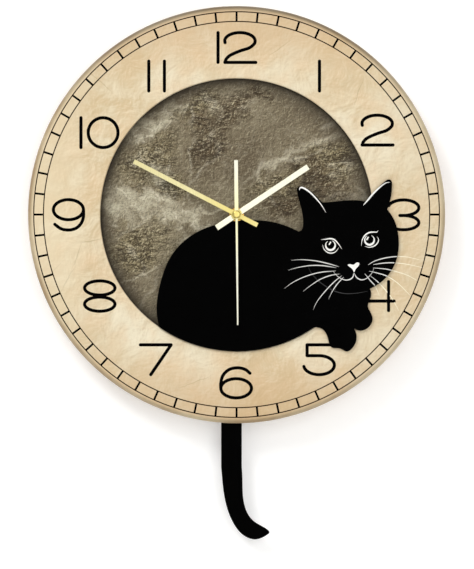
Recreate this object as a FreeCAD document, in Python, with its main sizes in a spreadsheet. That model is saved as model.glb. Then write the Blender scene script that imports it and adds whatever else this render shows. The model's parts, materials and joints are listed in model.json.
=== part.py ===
import FreeCAD, Part

import os
import re

import Sketcher
from FreeCAD import Rotation, Vector

# A battery wall clock: a round dial ring with a stone disc set into its back, a flat cat lying across
# the window, three hands, a stepping quartz movement, and the cat's tail as a swinging pendulum.
# +X is right as seen from the front, +Z is up, and the front faces -Y. The origin is where the
# hands' axis meets the wall. A "level" is a distance in front of the wall.

# ---------------------------------------------------------------------------------------------
# Driving sizes, in millimetres and degrees
# ---------------------------------------------------------------------------------------------
SIZES = {
    # dial ring and the stone disc in its rabbet
    "dial_radius": 150.0,
    "dial_thickness": 8.0,
    "rim_round": 4.0,
    "back_round": 1.2,
    "window_radius": 98.0,
    "window_round": 0.8,
    "rabbet_width": 6.0,
    "disc_thickness": 3.0,
    "disc_clearance": 0.3,
    "rubber_thickness": 1.0,
    "rubber_radius": 12.0,
    # cat and its foam pads
    "cat_thickness": 2.0,
    "pad_radius": 7.0,
    # movement case
    "case_width": 60.0,
    "case_top": 40.0,
    "case_bottom": 64.0,
    "case_depth": 20.0,
    "case_wall": 1.5,
    "case_round": 4.0,
    "cover_thickness": 2.0,
    "post_radius": 3.0,
    "post_inset": 4.2,
    "pillar_radius": 1.8,
    "pillar_gap": 2.4,
    "upper_pillar_x": 12.0,
    "side_pillar_inset": 2.7,
    "side_pillar_z": 4.0,
    "lower_pillar_x": 20.0,
    "lower_pillar_z": 9.0,
    # fits
    "running_fit": 0.05,
    "loose_fit": 0.2,
    # screws
    "screw_radius": 1.1,
    "screw_head_radius": 2.2,
    "screw_head_height": 1.2,
    "small_screw_radius": 0.8,
    "small_head_radius": 1.6,
    "small_head_height": 0.8,
    "pilot_depth": 9.0,
    "small_pilot_depth": 4.0,
    # hanger
    "hanger_width": 24.0,
    "hanger_thickness": 1.2,
    "hanger_overlap": 10.0,
    "hanger_reach": 10.0,
    "hanging_hole_radius": 2.6,
    "hanging_hole_height": 44.0,
    "hanger_screw_spread": 8.0,
    # threaded bushing and its nut
    "bushing_radius": 4.0,
    "bushing_set": 1.0,
    "bushing_chamfer": 0.4,
    "bushing_flange_radius": 5.5,
    "bushing_flange": 0.8,
    "nut_radius": 5.2,
    "nut_thickness": 2.4,
    "nut_slot": 1.4,
    # hour, minute and second pipes
    "second_arbor_radius": 0.6,
    "minute_pipe_radius": 1.6,
    "hour_pipe_radius": 2.55,
    # hands
    "hub_radius": 3.9,
    "collet_wall": 0.9,
    "hour_clearance": 0.8,
    "hour_thickness": 0.6,
    "hour_reach": 61.6,
    "hour_tail": 17.3,
    "hour_width": 4.1,
    "hour_angle": 56.3,
    "minute_clearance": 1.4,
    "minute_thickness": 0.6,
    "minute_reach": 82.8,
    "minute_tail": 16.9,
    "minute_width": 3.3,
    "minute_angle": 297.3,
    "second_clearance": 1.3,
    "second_thickness": 0.5,
    "second_reach": 79.2,
    "second_width": 1.65,
    "second_tip": 1.0,
    "second_tail": 38.8,
    "second_tail_width": 2.7,
    "second_angle": 179.4,
    "second_boss_radius": 1.5,
    "cap_radius": 2.9,
    "cap_height": 1.4,
    # where the arbors stand round the hands' axis
    "train_distance": 12.24,
    "third_direction": 150.0,
    "intermediate_distance": 9.6,
    "intermediate_direction": 60.0,
    "rotor_distance": 8.96,
    "rotor_direction": 45.0,
    "works_gap": 0.78,
    "works_direction": -15.0,
    "arbor_radius": 0.5,
    "works_arbor_radius": 0.6,
    "pivot_depth": 0.8,
    # teeth
    "rotor_leaves": 8,
    "intermediate_teeth": 48,
    "intermediate_leaves": 8,
    "second_teeth": 40,
    "second_leaves": 8,
    "third_teeth": 60,
    "third_leaves": 8,
    "centre_teeth": 64,
    "cannon_leaves": 12,
    "works_teeth": 36,
    "works_leaves": 10,
    "hour_teeth": 40,
    "wheel_width": 1.0,
    "pinion_width": 1.5,
    # how far each wheel stands behind the inside of the front wall
    "works_pinion_set": 0.1,
    "hour_wheel_set": 0.3,
    "cannon_set": 1.9,
    "works_wheel_set": 2.0,
    "clutch_set": 3.25,
    "clutch_thickness": 0.3,
    "third_pinion_set": 3.4,
    "centre_wheel_set": 3.6,
    "middle_plate_set": 5.0,
    "second_pinion_set": 5.1,
    "third_wheel_set": 5.3,
    "intermediate_pinion_set": 6.8,
    "second_wheel_set": 7.0,
    "rotor_pinion_set": 8.5,
    "intermediate_wheel_set": 8.7,
    "magnet_set": 10.3,
    "stator_set": 11.3,
    "bridge_set": 13.6,
    "bridge_thickness": 1.2,
    "bridge_margin": 3.0,
    "bridge_gap": 0.5,
    "bridge_waist_x": 4.0,
    "bridge_waist_z": 6.0,
    # stepping motor
    "magnet_radius": 2.4,
    "magnet_length": 3.0,
    "stator_thickness": 1.0,
    "stator_gap": 0.6,
    "stator_half_height": 4.5,
    "stator_left": 8.0,
    "stator_right": 25.0,
    "stator_leg": 5.0,
    "core_height": 28.0,
    "core_width": 3.0,
    "bobbin_radius": 4.6,
    "bobbin_barrel": 2.3,
    "bobbin_flange": 0.8,
    "winding_radius": 4.1,
    # circuit board
    "board_thickness": 1.0,
    "board_left": 17.0,
    "board_right": 2.0,
    "board_bottom": 13.0,
    "board_top": 17.0,
    "pin_radius": 0.9,
    "pin_inset": 2.0,
    "chip_radius": 2.6,
    "chip_height": 0.6,
    "chip_round": 0.5,
    "crystal_radius": 0.9,
    "crystal_length": 5.6,
    "crystal_inset": 4.0,
    # setting knob in its well
    "knob_radius": 6.5,
    "knob_thickness": 3.6,
    "knob_bottom": 4.2,
    "knob_grooves": 24,
    "knob_dish": 0.8,
    "well_radius": 7.5,
    "well_floor": 4.5,
    "well_wall": 1.0,
    # battery and its tray
    "cell_radius": 7.25,
    "cell_length": 50.5,
    "cell_nub_radius": 2.75,
    "cell_nub": 1.3,
    "cell_level": 9.5,
    "cell_drop": 24.5,
    "tray_gap": 0.5,
    "tray_end_gap": 1.2,
    "tray_wall": 1.0,
    "tray_depth": 17.3,
    "contact_thickness": 0.4,
    "contact_inset": 1.0,
    "pip_radius": 1.6,
    "spring_base_radius": 4.4,
    "spring_tip_radius": 2.6,
    "spring_wall": 1.0,
    # pendulum works
    "pivot_drop": 42.5,
    "pivot_pin_radius": 1.0,
    "pivot_boss_radius": 2.6,
    "lever_level": 10.0,
    "lever_thickness": 2.0,
    "lever_hub_radius": 3.2,
    "lever_hub_length": 3.0,
    "lever_width": 6.0,
    "lever_end_gap": 0.3,
    "swing_angle": 15.0,
    "slot_clearance": 0.8,
    "drive_reach": 12.5,
    "drive_magnet_radius": 4.0,
    "drive_magnet_length": 2.5,
    "drive_coil_gap": 0.6,
    "drive_bobbin_radius": 6.0,
    "drive_barrel_radius": 2.2,
    "drive_winding_radius": 5.4,
    "drive_flange": 0.6,
    "drive_bore_radius": 1.0,
    "drive_board_half_width": 12.0,
    "drive_board_half_height": 6.5,
    # tail
    "tail_thickness": 3.0,
    "tail_width": 14.9,
    "tail_shift": 3.7,
    "tail_drop": 84.3,
    "tail_top_gap": 4.5,
    "tail_peg_radius": 1.5,
    "tail_peg_gap": 3.0,
    "tail_peg_spacing": 8.0,
}

# Sizes and places that follow from the driving ones
PLACES = {
    "inner_front": "case_depth - case_wall",
    "dial_back": "case_depth + rubber_thickness",
    "disc_front": "dial_back + disc_thickness",
    "dial_front": "dial_back + dial_thickness",
    "cat_front": "dial_front + cat_thickness",
    "bushing_front": "dial_front - bushing_set",
    "rabbet_radius": "window_radius + rabbet_width",
    "disc_radius": "rabbet_radius - disc_clearance",
    "half_width": "case_width / 2",
    "post_x": "half_width - post_inset",
    "post_top": "case_top - post_inset",
    "post_bottom": "-(case_bottom - post_inset)",
    "third_x": "train_distance * cos(third_direction * 1deg)",
    "third_z": "train_distance * sin(third_direction * 1deg)",
    "intermediate_x": "intermediate_distance * cos(intermediate_direction * 1deg)",
    "intermediate_z": "intermediate_distance * sin(intermediate_direction * 1deg)",
    "rotor_x": "intermediate_x + rotor_distance * cos(rotor_direction * 1deg)",
    "rotor_z": "intermediate_z + rotor_distance * sin(rotor_direction * 1deg)",
    "third_module": "2 * train_distance / (third_leaves + centre_teeth)",
    "works_distance": "third_module * (centre_teeth / 2 + 1) + works_arbor_radius + works_gap",
    "works_x": "works_distance * cos(works_direction * 1deg)",
    "works_z": "works_distance * sin(works_direction * 1deg)",
    "rotor_module": "2 * rotor_distance / (rotor_leaves + intermediate_teeth)",
    "intermediate_module": "2 * intermediate_distance / (intermediate_leaves + second_teeth)",
    "second_module": "2 * train_distance / (second_leaves + third_teeth)",
    "cannon_module": "2 * works_distance / (cannon_leaves + works_teeth)",
    "works_module": "2 * works_distance / (works_leaves + hour_teeth)",
    "second_arbor_bore": "second_arbor_radius + running_fit",
    "minute_pipe_bore": "minute_pipe_radius + running_fit",
    "hour_pipe_bore": "hour_pipe_radius + running_fit",
    "pivot_bore": "arbor_radius + running_fit",
    "hour_level": "cat_front + hour_clearance",
    "hour_front": "hour_level + hour_thickness",
    "minute_level": "hour_front + minute_clearance",
    "minute_front": "minute_level + minute_thickness",
    "second_level": "minute_front + second_clearance",
    "second_front": "second_level + second_thickness",
    "upper_pillar_z": "third_z + second_module * (third_teeth / 2 + 1) + pillar_radius + pillar_gap",
    "bridge_front": "inner_front - bridge_set",
    "bridge_back": "bridge_front - bridge_thickness",
    "middle_plate_front": "inner_front - middle_plate_set",
    "stator_front": "inner_front - stator_set",
    "core_front": "stator_front + stator_thickness",
    "core_level": "core_front - stator_thickness / 2",
    "bobbin_left": "stator_leg + running_fit - stator_left",
    "bobbin_right": "stator_right - stator_leg - running_fit",
    "left_leg_x": "stator_leg / 2 - stator_left",
    "right_leg_x": "stator_right - stator_leg / 2",
    "board_front": "cover_thickness + board_thickness",
    "tray_half_length": "cell_length / 2 + tray_end_gap",
    "tray_half_height": "cell_radius + tray_gap",
    "pivot_bosses_near": "lever_level + lever_thickness / 2 - lever_hub_length / 2 - lever_end_gap",
    "pivot_bosses_far": "lever_level + lever_thickness / 2 + lever_hub_length / 2 + lever_end_gap",
    "lever_front": "lever_level + lever_thickness",
    "drive_coil_front": "lever_level - drive_magnet_length - drive_coil_gap",
    "case_bottom_drop": "case_bottom - pivot_drop",
    "tail_top_drop": "case_bottom_drop + tail_top_gap",
    "upper_peg_drop": "tail_top_drop + tail_peg_gap + tail_peg_radius",
    "lower_peg_drop": "upper_peg_drop + tail_peg_spacing",
    "tail_tip_drop": "dial_radius + tail_drop - pivot_drop",
}

doc = FreeCAD.newDocument("CatTailClock")
sheet = doc.addObject("Spreadsheet::Sheet", "Sizes")
for row, (alias, value) in enumerate(SIZES.items(), start=1):
    sheet.set(f"A{row}", alias)
    sheet.set(f"B{row}", str(value))
    sheet.setAlias(f"B{row}", alias)
doc.recompute()

nodes = []


# ---------------------------------------------------------------------------------------------
# Helpers
# ---------------------------------------------------------------------------------------------
def formula(text):
    """An expression on the sheet's cells, from words of SIZES and PLACES."""

    def spelt_out(match):
        word = match.group()
        if word in PLACES:
            return "(" + formula(PLACES[word]) + ")"
        if word in SIZES:
            return "Sizes." + word
        return word

    return re.sub(r"[a-z_]+", spelt_out, text)


def number(text):
    """The present value of such an expression, as a plain number."""
    result = sheet.evalExpression(formula(text))
    return float(getattr(result, "Value", result))


def keep(piece):
    """Lists a finished piece as a node of the clock."""
    doc.recompute()
    nodes.append(piece)
    return piece


def new_body(name, x="0", level="0", z="0"):
    body = doc.addObject("PartDesign::Body", name)
    body.Label = name
    body.setExpression("Placement.Base.x", formula(x))
    body.setExpression("Placement.Base.y", formula(f"-({level})"))
    body.setExpression("Placement.Base.z", formula(z))
    return body


def new_sketch(body, level="0", role="XZ_Plane"):
    """A sketch facing the front at a level, or one in the XY plane for turned pieces."""
    sketch = body.newObject("Sketcher::SketchObject", body.Name + "_sketch")
    plane = next(f for f in body.Origin.OriginFeatures if f.Role == role)
    sketch.AttachmentSupport = [(plane, "")]
    sketch.MapMode = "FlatFace"
    sketch.setExpression("AttachmentOffset.Base.z", formula(level))
    return sketch


def pin_point(sketch, geometry, end, across, up):
    """Holds one end of a sketch line at two expressions."""
    for kind, text in (("DistanceX", across), ("DistanceY", up)):
        index = sketch.addConstraint(Sketcher.Constraint(kind, -1, 1, geometry, end, number(text)))
        sketch.setExpression(f"Constraints[{index}]", formula(text))


def polygon(sketch, points):
    first = sketch.GeometryCount
    corners = [Vector(number(across), number(up), 0) for across, up in points]
    for start, end in zip(corners, corners[1:] + corners[:1]):
        sketch.addGeometry(Part.LineSegment(start, end))
    for i in range(len(points)):
        after = first + (i + 1) % len(points)
        sketch.addConstraint(Sketcher.Constraint("Coincident", first + i, 2, after, 1))
    for i, (across, up) in enumerate(points):
        pin_point(sketch, first + i, 1, across, up)


def rectangle(sketch, left, right, bottom, top):
    polygon(sketch, [(left, bottom), (right, bottom), (right, top), (left, top)])


def circle(sketch, radius, x="0", z="0"):
    centre = Vector(number(x), number(z), 0)
    geometry = sketch.addGeometry(Part.Circle(centre, Vector(0, 0, 1), number(radius)))
    pin_point(sketch, geometry, 3, x, z)
    index = sketch.addConstraint(Sketcher.Constraint("Radius", geometry, number(radius)))
    sketch.setExpression(f"Constraints[{index}]", formula(radius))


def pad(body, sketch, length):
    """Adds material from the sketch towards the front."""
    feature = body.newObject("PartDesign::Pad", body.Name + "_pad")
    feature.Profile = sketch
    feature.setExpression("Length", formula(length))
    doc.recompute()
    return feature


def pocket(body, sketch, length):
    """Cuts from the sketch back towards the wall, and makes sure that it cuts something."""
    before = body.Shape.Volume
    feature = body.newObject("PartDesign::Pocket", body.Name + "_pocket")
    feature.Profile = sketch
    feature.setExpression("Length", formula(length))
    doc.recompute()
    if body.Shape.Volume >= before:
        raise RuntimeError(f"a pocket in {body.Name} cuts nothing")
    return feature


def disc(body, radius, back, length, x="0", z="0"):
    sketch = new_sketch(body, back)
    circle(sketch, radius, x, z)
    return pad(body, sketch, length)


def bore(body, radius, front, length, x="0", z="0"):
    sketch = new_sketch(body, front)
    circle(sketch, radius, x, z)
    return pocket(body, sketch, length)


def block(body, left, right, bottom, top, back, length):
    sketch = new_sketch(body, back)
    rectangle(sketch, left, right, bottom, top)
    return pad(body, sketch, length)


def recess(body, left, right, bottom, top, front, length):
    sketch = new_sketch(body, front)
    rectangle(sketch, left, right, bottom, top)
    return pocket(body, sketch, length)


def revolve(body, profile, axis="V_Axis"):
    """Turns a closed profile round the sketch's own axis."""
    sketch = new_sketch(body, role="XY_Plane")
    polygon(sketch, profile)
    feature = body.newObject("PartDesign::Revolution", body.Name + "_turning")
    feature.Profile = sketch
    feature.ReferenceAxis = (sketch, [axis])
    feature.Angle = 360
    doc.recompute()


def turned(name, profile, x="0", z="0"):
    """A piece turned round an axis that points at the viewer; the profile is (radius, level)."""
    body = new_body(name, x=x, z=z)
    revolve(body, [(radius, f"-({level})") for radius, level in profile])
    return body


def round_edges(body, radius, chosen):
    """Rounds the edges of the body for which chosen(edge) is true."""
    base = body.Tip
    names = [f"Edge{i}" for i, edge in enumerate(body.Shape.Edges, start=1) if chosen(edge)]
    feature = body.newObject("PartDesign::Fillet", body.Name + "_round")
    feature.Base = (base, names)
    feature.setExpression("Radius", formula(radius))
    body.Tip = feature
    doc.recompute()


def runs_front_to_back(edge):
    """True for a straight edge along Y, such as a plate's corner."""
    return len(edge.Vertexes) == 2 and abs(edge.tangentAt(edge.FirstParameter).y) > 0.999


def is_ring(edge, radius, level):
    """True for a full circle of a radius at a level in front of the body's own origin."""
    if not isinstance(edge.Curve, Part.Circle):
        return False
    near_level = abs(edge.CenterOfMass.y + number(level)) < 0.01
    return near_level and abs(edge.Curve.Radius - number(radius)) < 0.01


def bundle(name, pieces):
    """Identical separate solids kept together as one node."""
    group = doc.addObject("Part::Compound", name)
    group.Label = name
    group.Links = pieces
    return group


# Tooth forms of clock trains, as multiples of the module: (height over the pitch circle, half of the
# tooth's thickness there), from the tip to the root.
WHEEL_TOOTH = [(1.45, 0.10), (1.30, 0.20), (0.75, 0.55), (0.0, 0.74), (-1.45, 0.70)]
PINION_LEAF = [(0.85, 0.10), (0.67, 0.24), (0.35, 0.42), (0.0, 0.50), (-1.55, 0.30)]


def tooth_spaces(body, teeth, module, front, width, facing, form):
    """Cuts one space between teeth, centred on a direction, and repeats it round the wheel."""
    pitch = f"({teeth} * {module} / 2)"
    side = []
    for height, half in form:
        radius = f"({pitch} + {height} * {module})"
        side.append((radius, f"(180deg / {teeth} - asin({half} * {module} / {radius}))"))
    points = []
    for sign, flank in (("+", side), ("-", side[::-1])):
        for radius, half_space in flank:
            angle = f"(({facing}) * 1deg {sign} {half_space})"
            points.append((f"{radius} * cos({angle})", f"{radius} * sin({angle})"))
    beyond = f"({pitch} + 2 * {module})"
    points.append((f"{beyond} * cos(({facing}) * 1deg)", f"{beyond} * sin(({facing}) * 1deg)"))
    sketch = new_sketch(body, front)
    polygon(sketch, points)
    space = pocket(body, sketch, width)
    pattern = body.newObject("PartDesign::PolarPattern", body.Name + "_teeth")
    pattern.Originals = [space]
    pattern.Axis = (sketch, ["N_Axis"])
    pattern.Angle = 360
    pattern.setExpression("Occurrences", formula(teeth))
    body.Tip = pattern
    doc.recompute()


def add_wheel(body, teeth, module, step, width, towards):
    """A wheel with a tooth on the line towards its pinion; step is its set behind the front wall."""
    back = f"inner_front - {step} - {width}"
    disc(body, f"{teeth} * {module} / 2 + 1.3 * {module}", back, width)
    facing = f"{towards} + 180 / {teeth}"
    tooth_spaces(body, teeth, module, f"inner_front - {step}", width, facing, WHEEL_TOOTH)


def add_pinion(body, leaves, module, step, width, towards):
    """A pinion with a space on the line towards its wheel."""
    back = f"inner_front - {step} - {width}"
    disc(body, f"{leaves} * {module} / 2 + 0.67 * {module}", back, width)
    tooth_spaces(body, leaves, module, f"inner_front - {step}", width, towards, PINION_LEAF)


def pan_screw(name, x, z, seat, length, radius, head_radius, head_height):
    """A screw driven from behind: its head stands on the wall side of the seat level."""
    body = turned(
        name,
        [
            ("0", f"{seat} - {head_height}"),
            (head_radius, f"{seat} - {head_height}"),
            (head_radius, seat),
            (radius, seat),
            (radius, f"{seat} + {length}"),
            ("0", f"{seat} + {length} + {radius}"),
        ],
        x,
        z,
    )
    slot_half = f"{head_radius} / 6"
    recess(
        body,
        f"-{head_radius}",
        head_radius,
        f"-{slot_half}",
        slot_half,
        f"{seat} - {head_height} / 2",
        f"{head_height} / 2",
    )
    return body


def spline_outline(pieces):
    """The edges of a closed outline: a run of two points is straight, and a longer one is a smooth curve."""
    edges = []
    for run in pieces:
        points = [Vector(x, 0, z) for x, z in run]
        if len(points) == 2:
            edges.append(Part.LineSegment(*points).toShape())
        else:
            curve = Part.BSplineCurve()
            curve.interpolate(points)
            edges.append(curve.toShape())
    return edges


# ---------------------------------------------------------------------------------------------
# Dial
# ---------------------------------------------------------------------------------------------
def dial_ring():
    """The broad ring that carries the numerals, rabbeted behind for the stone disc."""
    body = turned(
        "dial_ring",
        [
            ("window_radius", "disc_front"),
            ("rabbet_radius", "disc_front"),
            ("rabbet_radius", "dial_back"),
            ("dial_radius", "dial_back"),
            ("dial_radius", "dial_front"),
            ("window_radius", "dial_front"),
        ],
    )
    round_edges(body, "rim_round", lambda edge: is_ring(edge, "dial_radius", "dial_front"))
    round_edges(body, "back_round", lambda edge: is_ring(edge, "dial_radius", "dial_back"))
    round_edges(body, "window_round", lambda edge: is_ring(edge, "window_radius", "dial_front"))
    return keep(body)


def stone_disc():
    """The disc behind the window, clamped on the bushing."""
    return keep(
        turned(
            "stone_disc",
            [
                ("bushing_radius + loose_fit", "dial_back"),
                ("disc_radius", "dial_back"),
                ("disc_radius", "disc_front"),
                ("bushing_radius + loose_fit", "disc_front"),
            ],
        )
    )


def rubber_washer():
    return keep(
        turned(
            "rubber_washer",
            [
                ("bushing_radius + loose_fit", "case_depth"),
                ("rubber_radius", "case_depth"),
                ("rubber_radius", "dial_back"),
                ("bushing_radius + loose_fit", "dial_back"),
            ],
        )
    )


# The cat's outline is set out for a window of this radius and scaled with the window.
CAT_WINDOW = 98.0
CAT_BACK = [(-55.2, -81.0), (-57.4, -67.0), (-55.1, -51.0), (-47.5, -30.7), (-39.0, -20.2), (-25.0, -10.9)]
CAT_BACK += [(-10.0, -6.2), (5.0, -4.3), (23.4, -4.9), (34.0, -7.6), (44.4, -12.2)]
CAT_LEFT_EAR = [(44.4, -12.2), (46.6, -11.2), (47.7, -7.4), (46.3, 4.8), (43.6, 16.0)]
CAT_LEFT_EAR_TIP = [(43.6, 16.0), (43.6, 19.2), (45.9, 20.3)]
CAT_LEFT_EAR_INNER = [(45.9, 20.3), (52.7, 17.1), (57.6, 12.7), (61.5, 8.7)]
CAT_CROWN = [(61.5, 8.7), (70.4, 9.3), (81.6, 10.3), (92.8, 9.1)]
CAT_RIGHT_EAR = [(92.8, 9.1), (100.8, 18.7), (108.0, 25.0)]
CAT_RIGHT_EAR_TIP = [(108.0, 25.0), (110.4, 24.8), (111.5, 21.5)]
CAT_RIGHT_EAR_OUTER = [(111.5, 21.5), (110.6, 12.0), (108.0, 3.6)]
CAT_CHEEK = [(108.0, 3.6), (113.5, -5.0), (116.3, -18.0), (115.0, -31.5), (108.0, -44.3), (95.5, -53.2)]
CAT_UPPER_PAW = [(95.5, -53.2), (95.6, -61.0), (94.2, -65.0), (97.4, -73.5), (96.0, -79.4), (90.6, -83.1)]
CAT_UPPER_PAW += [(83.9, -81.3)]
CAT_LOWER_PAW = [(83.9, -81.3), (86.1, -88.0), (84.0, -94.6), (78.8, -98.2), (74.4, -96.2), (68.4, -95.4)]
CAT_LOWER_PAW += [(65.6, -89.0), (63.4, -84.0), (58.4, -81.1)]
CAT_CHEST = [(58.4, -81.1), (56.3, -80.9), (54.6, -81.6)]


def cat_cutout():
    """The flat cat: its feet end on the window's circle, and its head and paws lie over the ring."""
    scale = number("window_radius") / CAT_WINDOW
    runs = [CAT_BACK, CAT_LEFT_EAR, CAT_LEFT_EAR_TIP, CAT_LEFT_EAR_INNER, CAT_CROWN, CAT_RIGHT_EAR]
    runs += [CAT_RIGHT_EAR_TIP, CAT_RIGHT_EAR_OUTER, CAT_CHEEK, CAT_UPPER_PAW, CAT_LOWER_PAW, CAT_CHEST]
    scaled = [[(x * scale, z * scale) for x, z in run] for run in runs]
    edges = spline_outline(scaled)
    right = Vector(scaled[-1][-1][0], 0, scaled[-1][-1][1])
    left = Vector(scaled[0][0][0], 0, scaled[0][0][1])
    lowest = Vector(0, 0, -(right.Length + left.Length) / 2)
    edges.append(Part.Arc(right, lowest, left).toShape())
    face = Part.Face(Part.Wire(Part.__sortEdges__(edges)))
    cat = doc.addObject("Part::Feature", "cat_cutout")
    cat.Label = "cat_cutout"
    cat.Shape = face.extrude(Vector(0, -number("cat_thickness"), 0))
    cat.Placement.Base = Vector(0, -number("dial_front"), 0)
    return keep(cat)


def cat_foam_pads():
    """Three foam pads that hold the cat off the stone disc."""
    pieces = []
    for i, (across, up) in enumerate([("-0.3", "-0.46"), ("0.3", "-0.5"), ("0.66", "-0.3")], start=1):
        piece = turned(
            f"cat_foam_pad_{i}",
            [
                ("0", "disc_front"),
                ("pad_radius", "disc_front"),
                ("pad_radius", "dial_front"),
                ("0", "dial_front"),
            ],
            f"{across} * window_radius",
            f"{up} * window_radius",
        )
        pieces.append(piece)
    return keep(bundle("cat_foam_pads", pieces))


# ---------------------------------------------------------------------------------------------
# Movement case, hanger and bushing
# ---------------------------------------------------------------------------------------------
POSTS = [("post_x", "post_top"), ("-post_x", "post_top"), ("post_x", "post_bottom"), ("-post_x", "post_bottom")]
BRIDGE_PILLARS = [
    ("-upper_pillar_x", "upper_pillar_z"),
    ("half_width - case_wall - side_pillar_inset", "side_pillar_z"),
    ("-lower_pillar_x", "-lower_pillar_z"),
]
PLATE_PILLARS = [("rotor_x + 8.9", "rotor_z - 5.5"), ("intermediate_x", "intermediate_z + 8.9")]
STATOR_PILLARS = [("left_leg_x", "core_height"), ("right_leg_x", "core_height")]
BOARD_PINS = [("-board_right - pin_inset", "pin_inset - board_bottom"), ("pin_inset - board_left", "board_top - pin_inset")]
DRIVE_BOARD_PINS = [("pin_inset - drive_board_half_width", "0"), ("drive_board_half_width - pin_inset", "0")]


def movement_front_case():
    """A deep moulded shell: front wall, four sides, pillars and bearing holes."""
    body = new_body("movement_front_case")
    block(
        body,
        "-half_width",
        "half_width",
        "-case_bottom",
        "case_top",
        "cover_thickness",
        "case_depth - cover_thickness",
    )
    round_edges(body, "case_round", runs_front_to_back)
    recess(
        body,
        "case_wall - half_width",
        "half_width - case_wall",
        "case_wall - case_bottom",
        "case_top - case_wall",
        "inner_front",
        "inner_front - cover_thickness",
    )
    for x, z in POSTS:
        disc(body, "post_radius", "cover_thickness", "inner_front - cover_thickness", x, z)
        bore(body, "screw_radius", "cover_thickness + pilot_depth", "pilot_depth", x, z)
    for x, z in BRIDGE_PILLARS:
        disc(body, "pillar_radius", "bridge_front", "inner_front - bridge_front", x, z)
        bore(body, "small_screw_radius", "bridge_front + small_pilot_depth", "small_pilot_depth", x, z)
    for x, z in PLATE_PILLARS:
        disc(body, "pillar_radius", "middle_plate_front", "middle_plate_set", x, z)
        bore(body, "small_screw_radius", "middle_plate_front + small_pilot_depth", "small_pilot_depth", x, z)
    for x, z in STATOR_PILLARS:
        disc(body, "pillar_radius", "core_front", "inner_front - core_front", x, z)
        bore(body, "small_screw_radius", "core_front + small_pilot_depth", "small_pilot_depth", x, z)
    disc(body, "pivot_boss_radius", "pivot_bosses_far", "inner_front - pivot_bosses_far", "0", "-pivot_drop")
    pin_front = "inner_front + pivot_depth + running_fit"
    bore(body, "pivot_pin_radius", pin_front, f"{pin_front} - pivot_bosses_far", "0", "-pivot_drop")
    for x, z, radius in (("third_x", "third_z", "pivot_bore"), ("works_x", "works_z", "works_arbor_radius")):
        bore(body, f"{radius} + running_fit", pin_front, "pivot_depth + running_fit", x, z)
    bore(body, "bushing_radius", "case_depth", "case_wall")
    bore(body, "bushing_flange_radius", "inner_front + bushing_flange", "bushing_flange")
    swing = "case_bottom_drop * tan(swing_angle * 1deg) + lever_width / 2 / cos(swing_angle * 1deg)"
    recess(
        body,
        f"-({swing} + slot_clearance)",
        f"{swing} + slot_clearance",
        "-case_bottom",
        "case_wall - case_bottom",
        "lever_front + slot_clearance",
        "lever_thickness + 2 * slot_clearance",
    )
    return keep(body)


def movement_rear_cover():
    """The flat cover on the wall side, with the battery tray, the knob's well and bosses moulded on."""
    body = new_body("movement_rear_cover")
    block(body, "-half_width", "half_width", "-case_bottom", "case_top", "0", "cover_thickness")
    round_edges(body, "case_round", runs_front_to_back)
    block(
        body,
        "-tray_half_length - tray_wall",
        "tray_half_length + tray_wall",
        "-cell_drop - tray_half_height - tray_wall",
        "tray_half_height + tray_wall - cell_drop",
        "cover_thickness",
        "tray_depth + tray_wall - cover_thickness",
    )
    disc(
        body,
        "well_radius + well_wall",
        "cover_thickness",
        "well_floor + well_wall - cover_thickness",
        "works_x",
        "works_z",
    )
    disc(
        body,
        "pivot_boss_radius",
        "cover_thickness",
        "pivot_bosses_near - cover_thickness",
        "0",
        "-pivot_drop",
    )
    for x in ("hanger_screw_spread", "-hanger_screw_spread"):
        disc(body, "2.4", "cover_thickness", "3", x, "case_top - hanger_overlap / 2")
    for x, z in BOARD_PINS:
        disc(body, "pin_radius", "cover_thickness", "board_thickness + 0.4", x, z)
    for x, z in DRIVE_BOARD_PINS:
        height = f"{z} - pivot_drop - drive_reach"
        disc(body, "pin_radius", "cover_thickness", "board_thickness + 0.4", x, height)
    recess(
        body,
        "-tray_half_length",
        "tray_half_length",
        "-cell_drop - tray_half_height",
        "tray_half_height - cell_drop",
        "tray_depth",
        "tray_depth",
    )
    bore(body, "well_radius", "well_floor", "well_floor", "works_x", "works_z")
    well_front = "well_floor + well_wall"
    bore(body, "works_arbor_radius + running_fit", well_front, "well_wall", "works_x", "works_z")
    pin_bore = "pivot_bosses_near - cover_thickness"
    bore(body, "pivot_pin_radius", "pivot_bosses_near", pin_bore, "0", "-pivot_drop")
    recess(
        body,
        "-hanger_width / 2 - loose_fit",
        "hanger_width / 2 + loose_fit",
        "case_top - hanger_overlap - loose_fit",
        "case_top",
        "hanger_thickness",
        "hanger_thickness",
    )
    for x in ("hanger_screw_spread", "-hanger_screw_spread"):
        bore(body, "small_screw_radius", "4.6", "4.6", x, "case_top - hanger_overlap / 2")
    for x, z in POSTS:
        bore(body, "screw_head_radius + loose_fit", "screw_head_height", "screw_head_height", x, z)
        bore(body, "screw_radius + running_fit", "cover_thickness", "cover_thickness", x, z)
    return keep(body)


def cover_screws():
    screws = [
        pan_screw(
            f"cover_screw_{i}",
            x,
            z,
            "screw_head_height",
            "pilot_depth - 1",
            "screw_radius",
            "screw_head_radius",
            "screw_head_height",
        )
        for i, (x, z) in enumerate(POSTS, start=1)
    ]
    return keep(bundle("cover_screws", screws))


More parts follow.
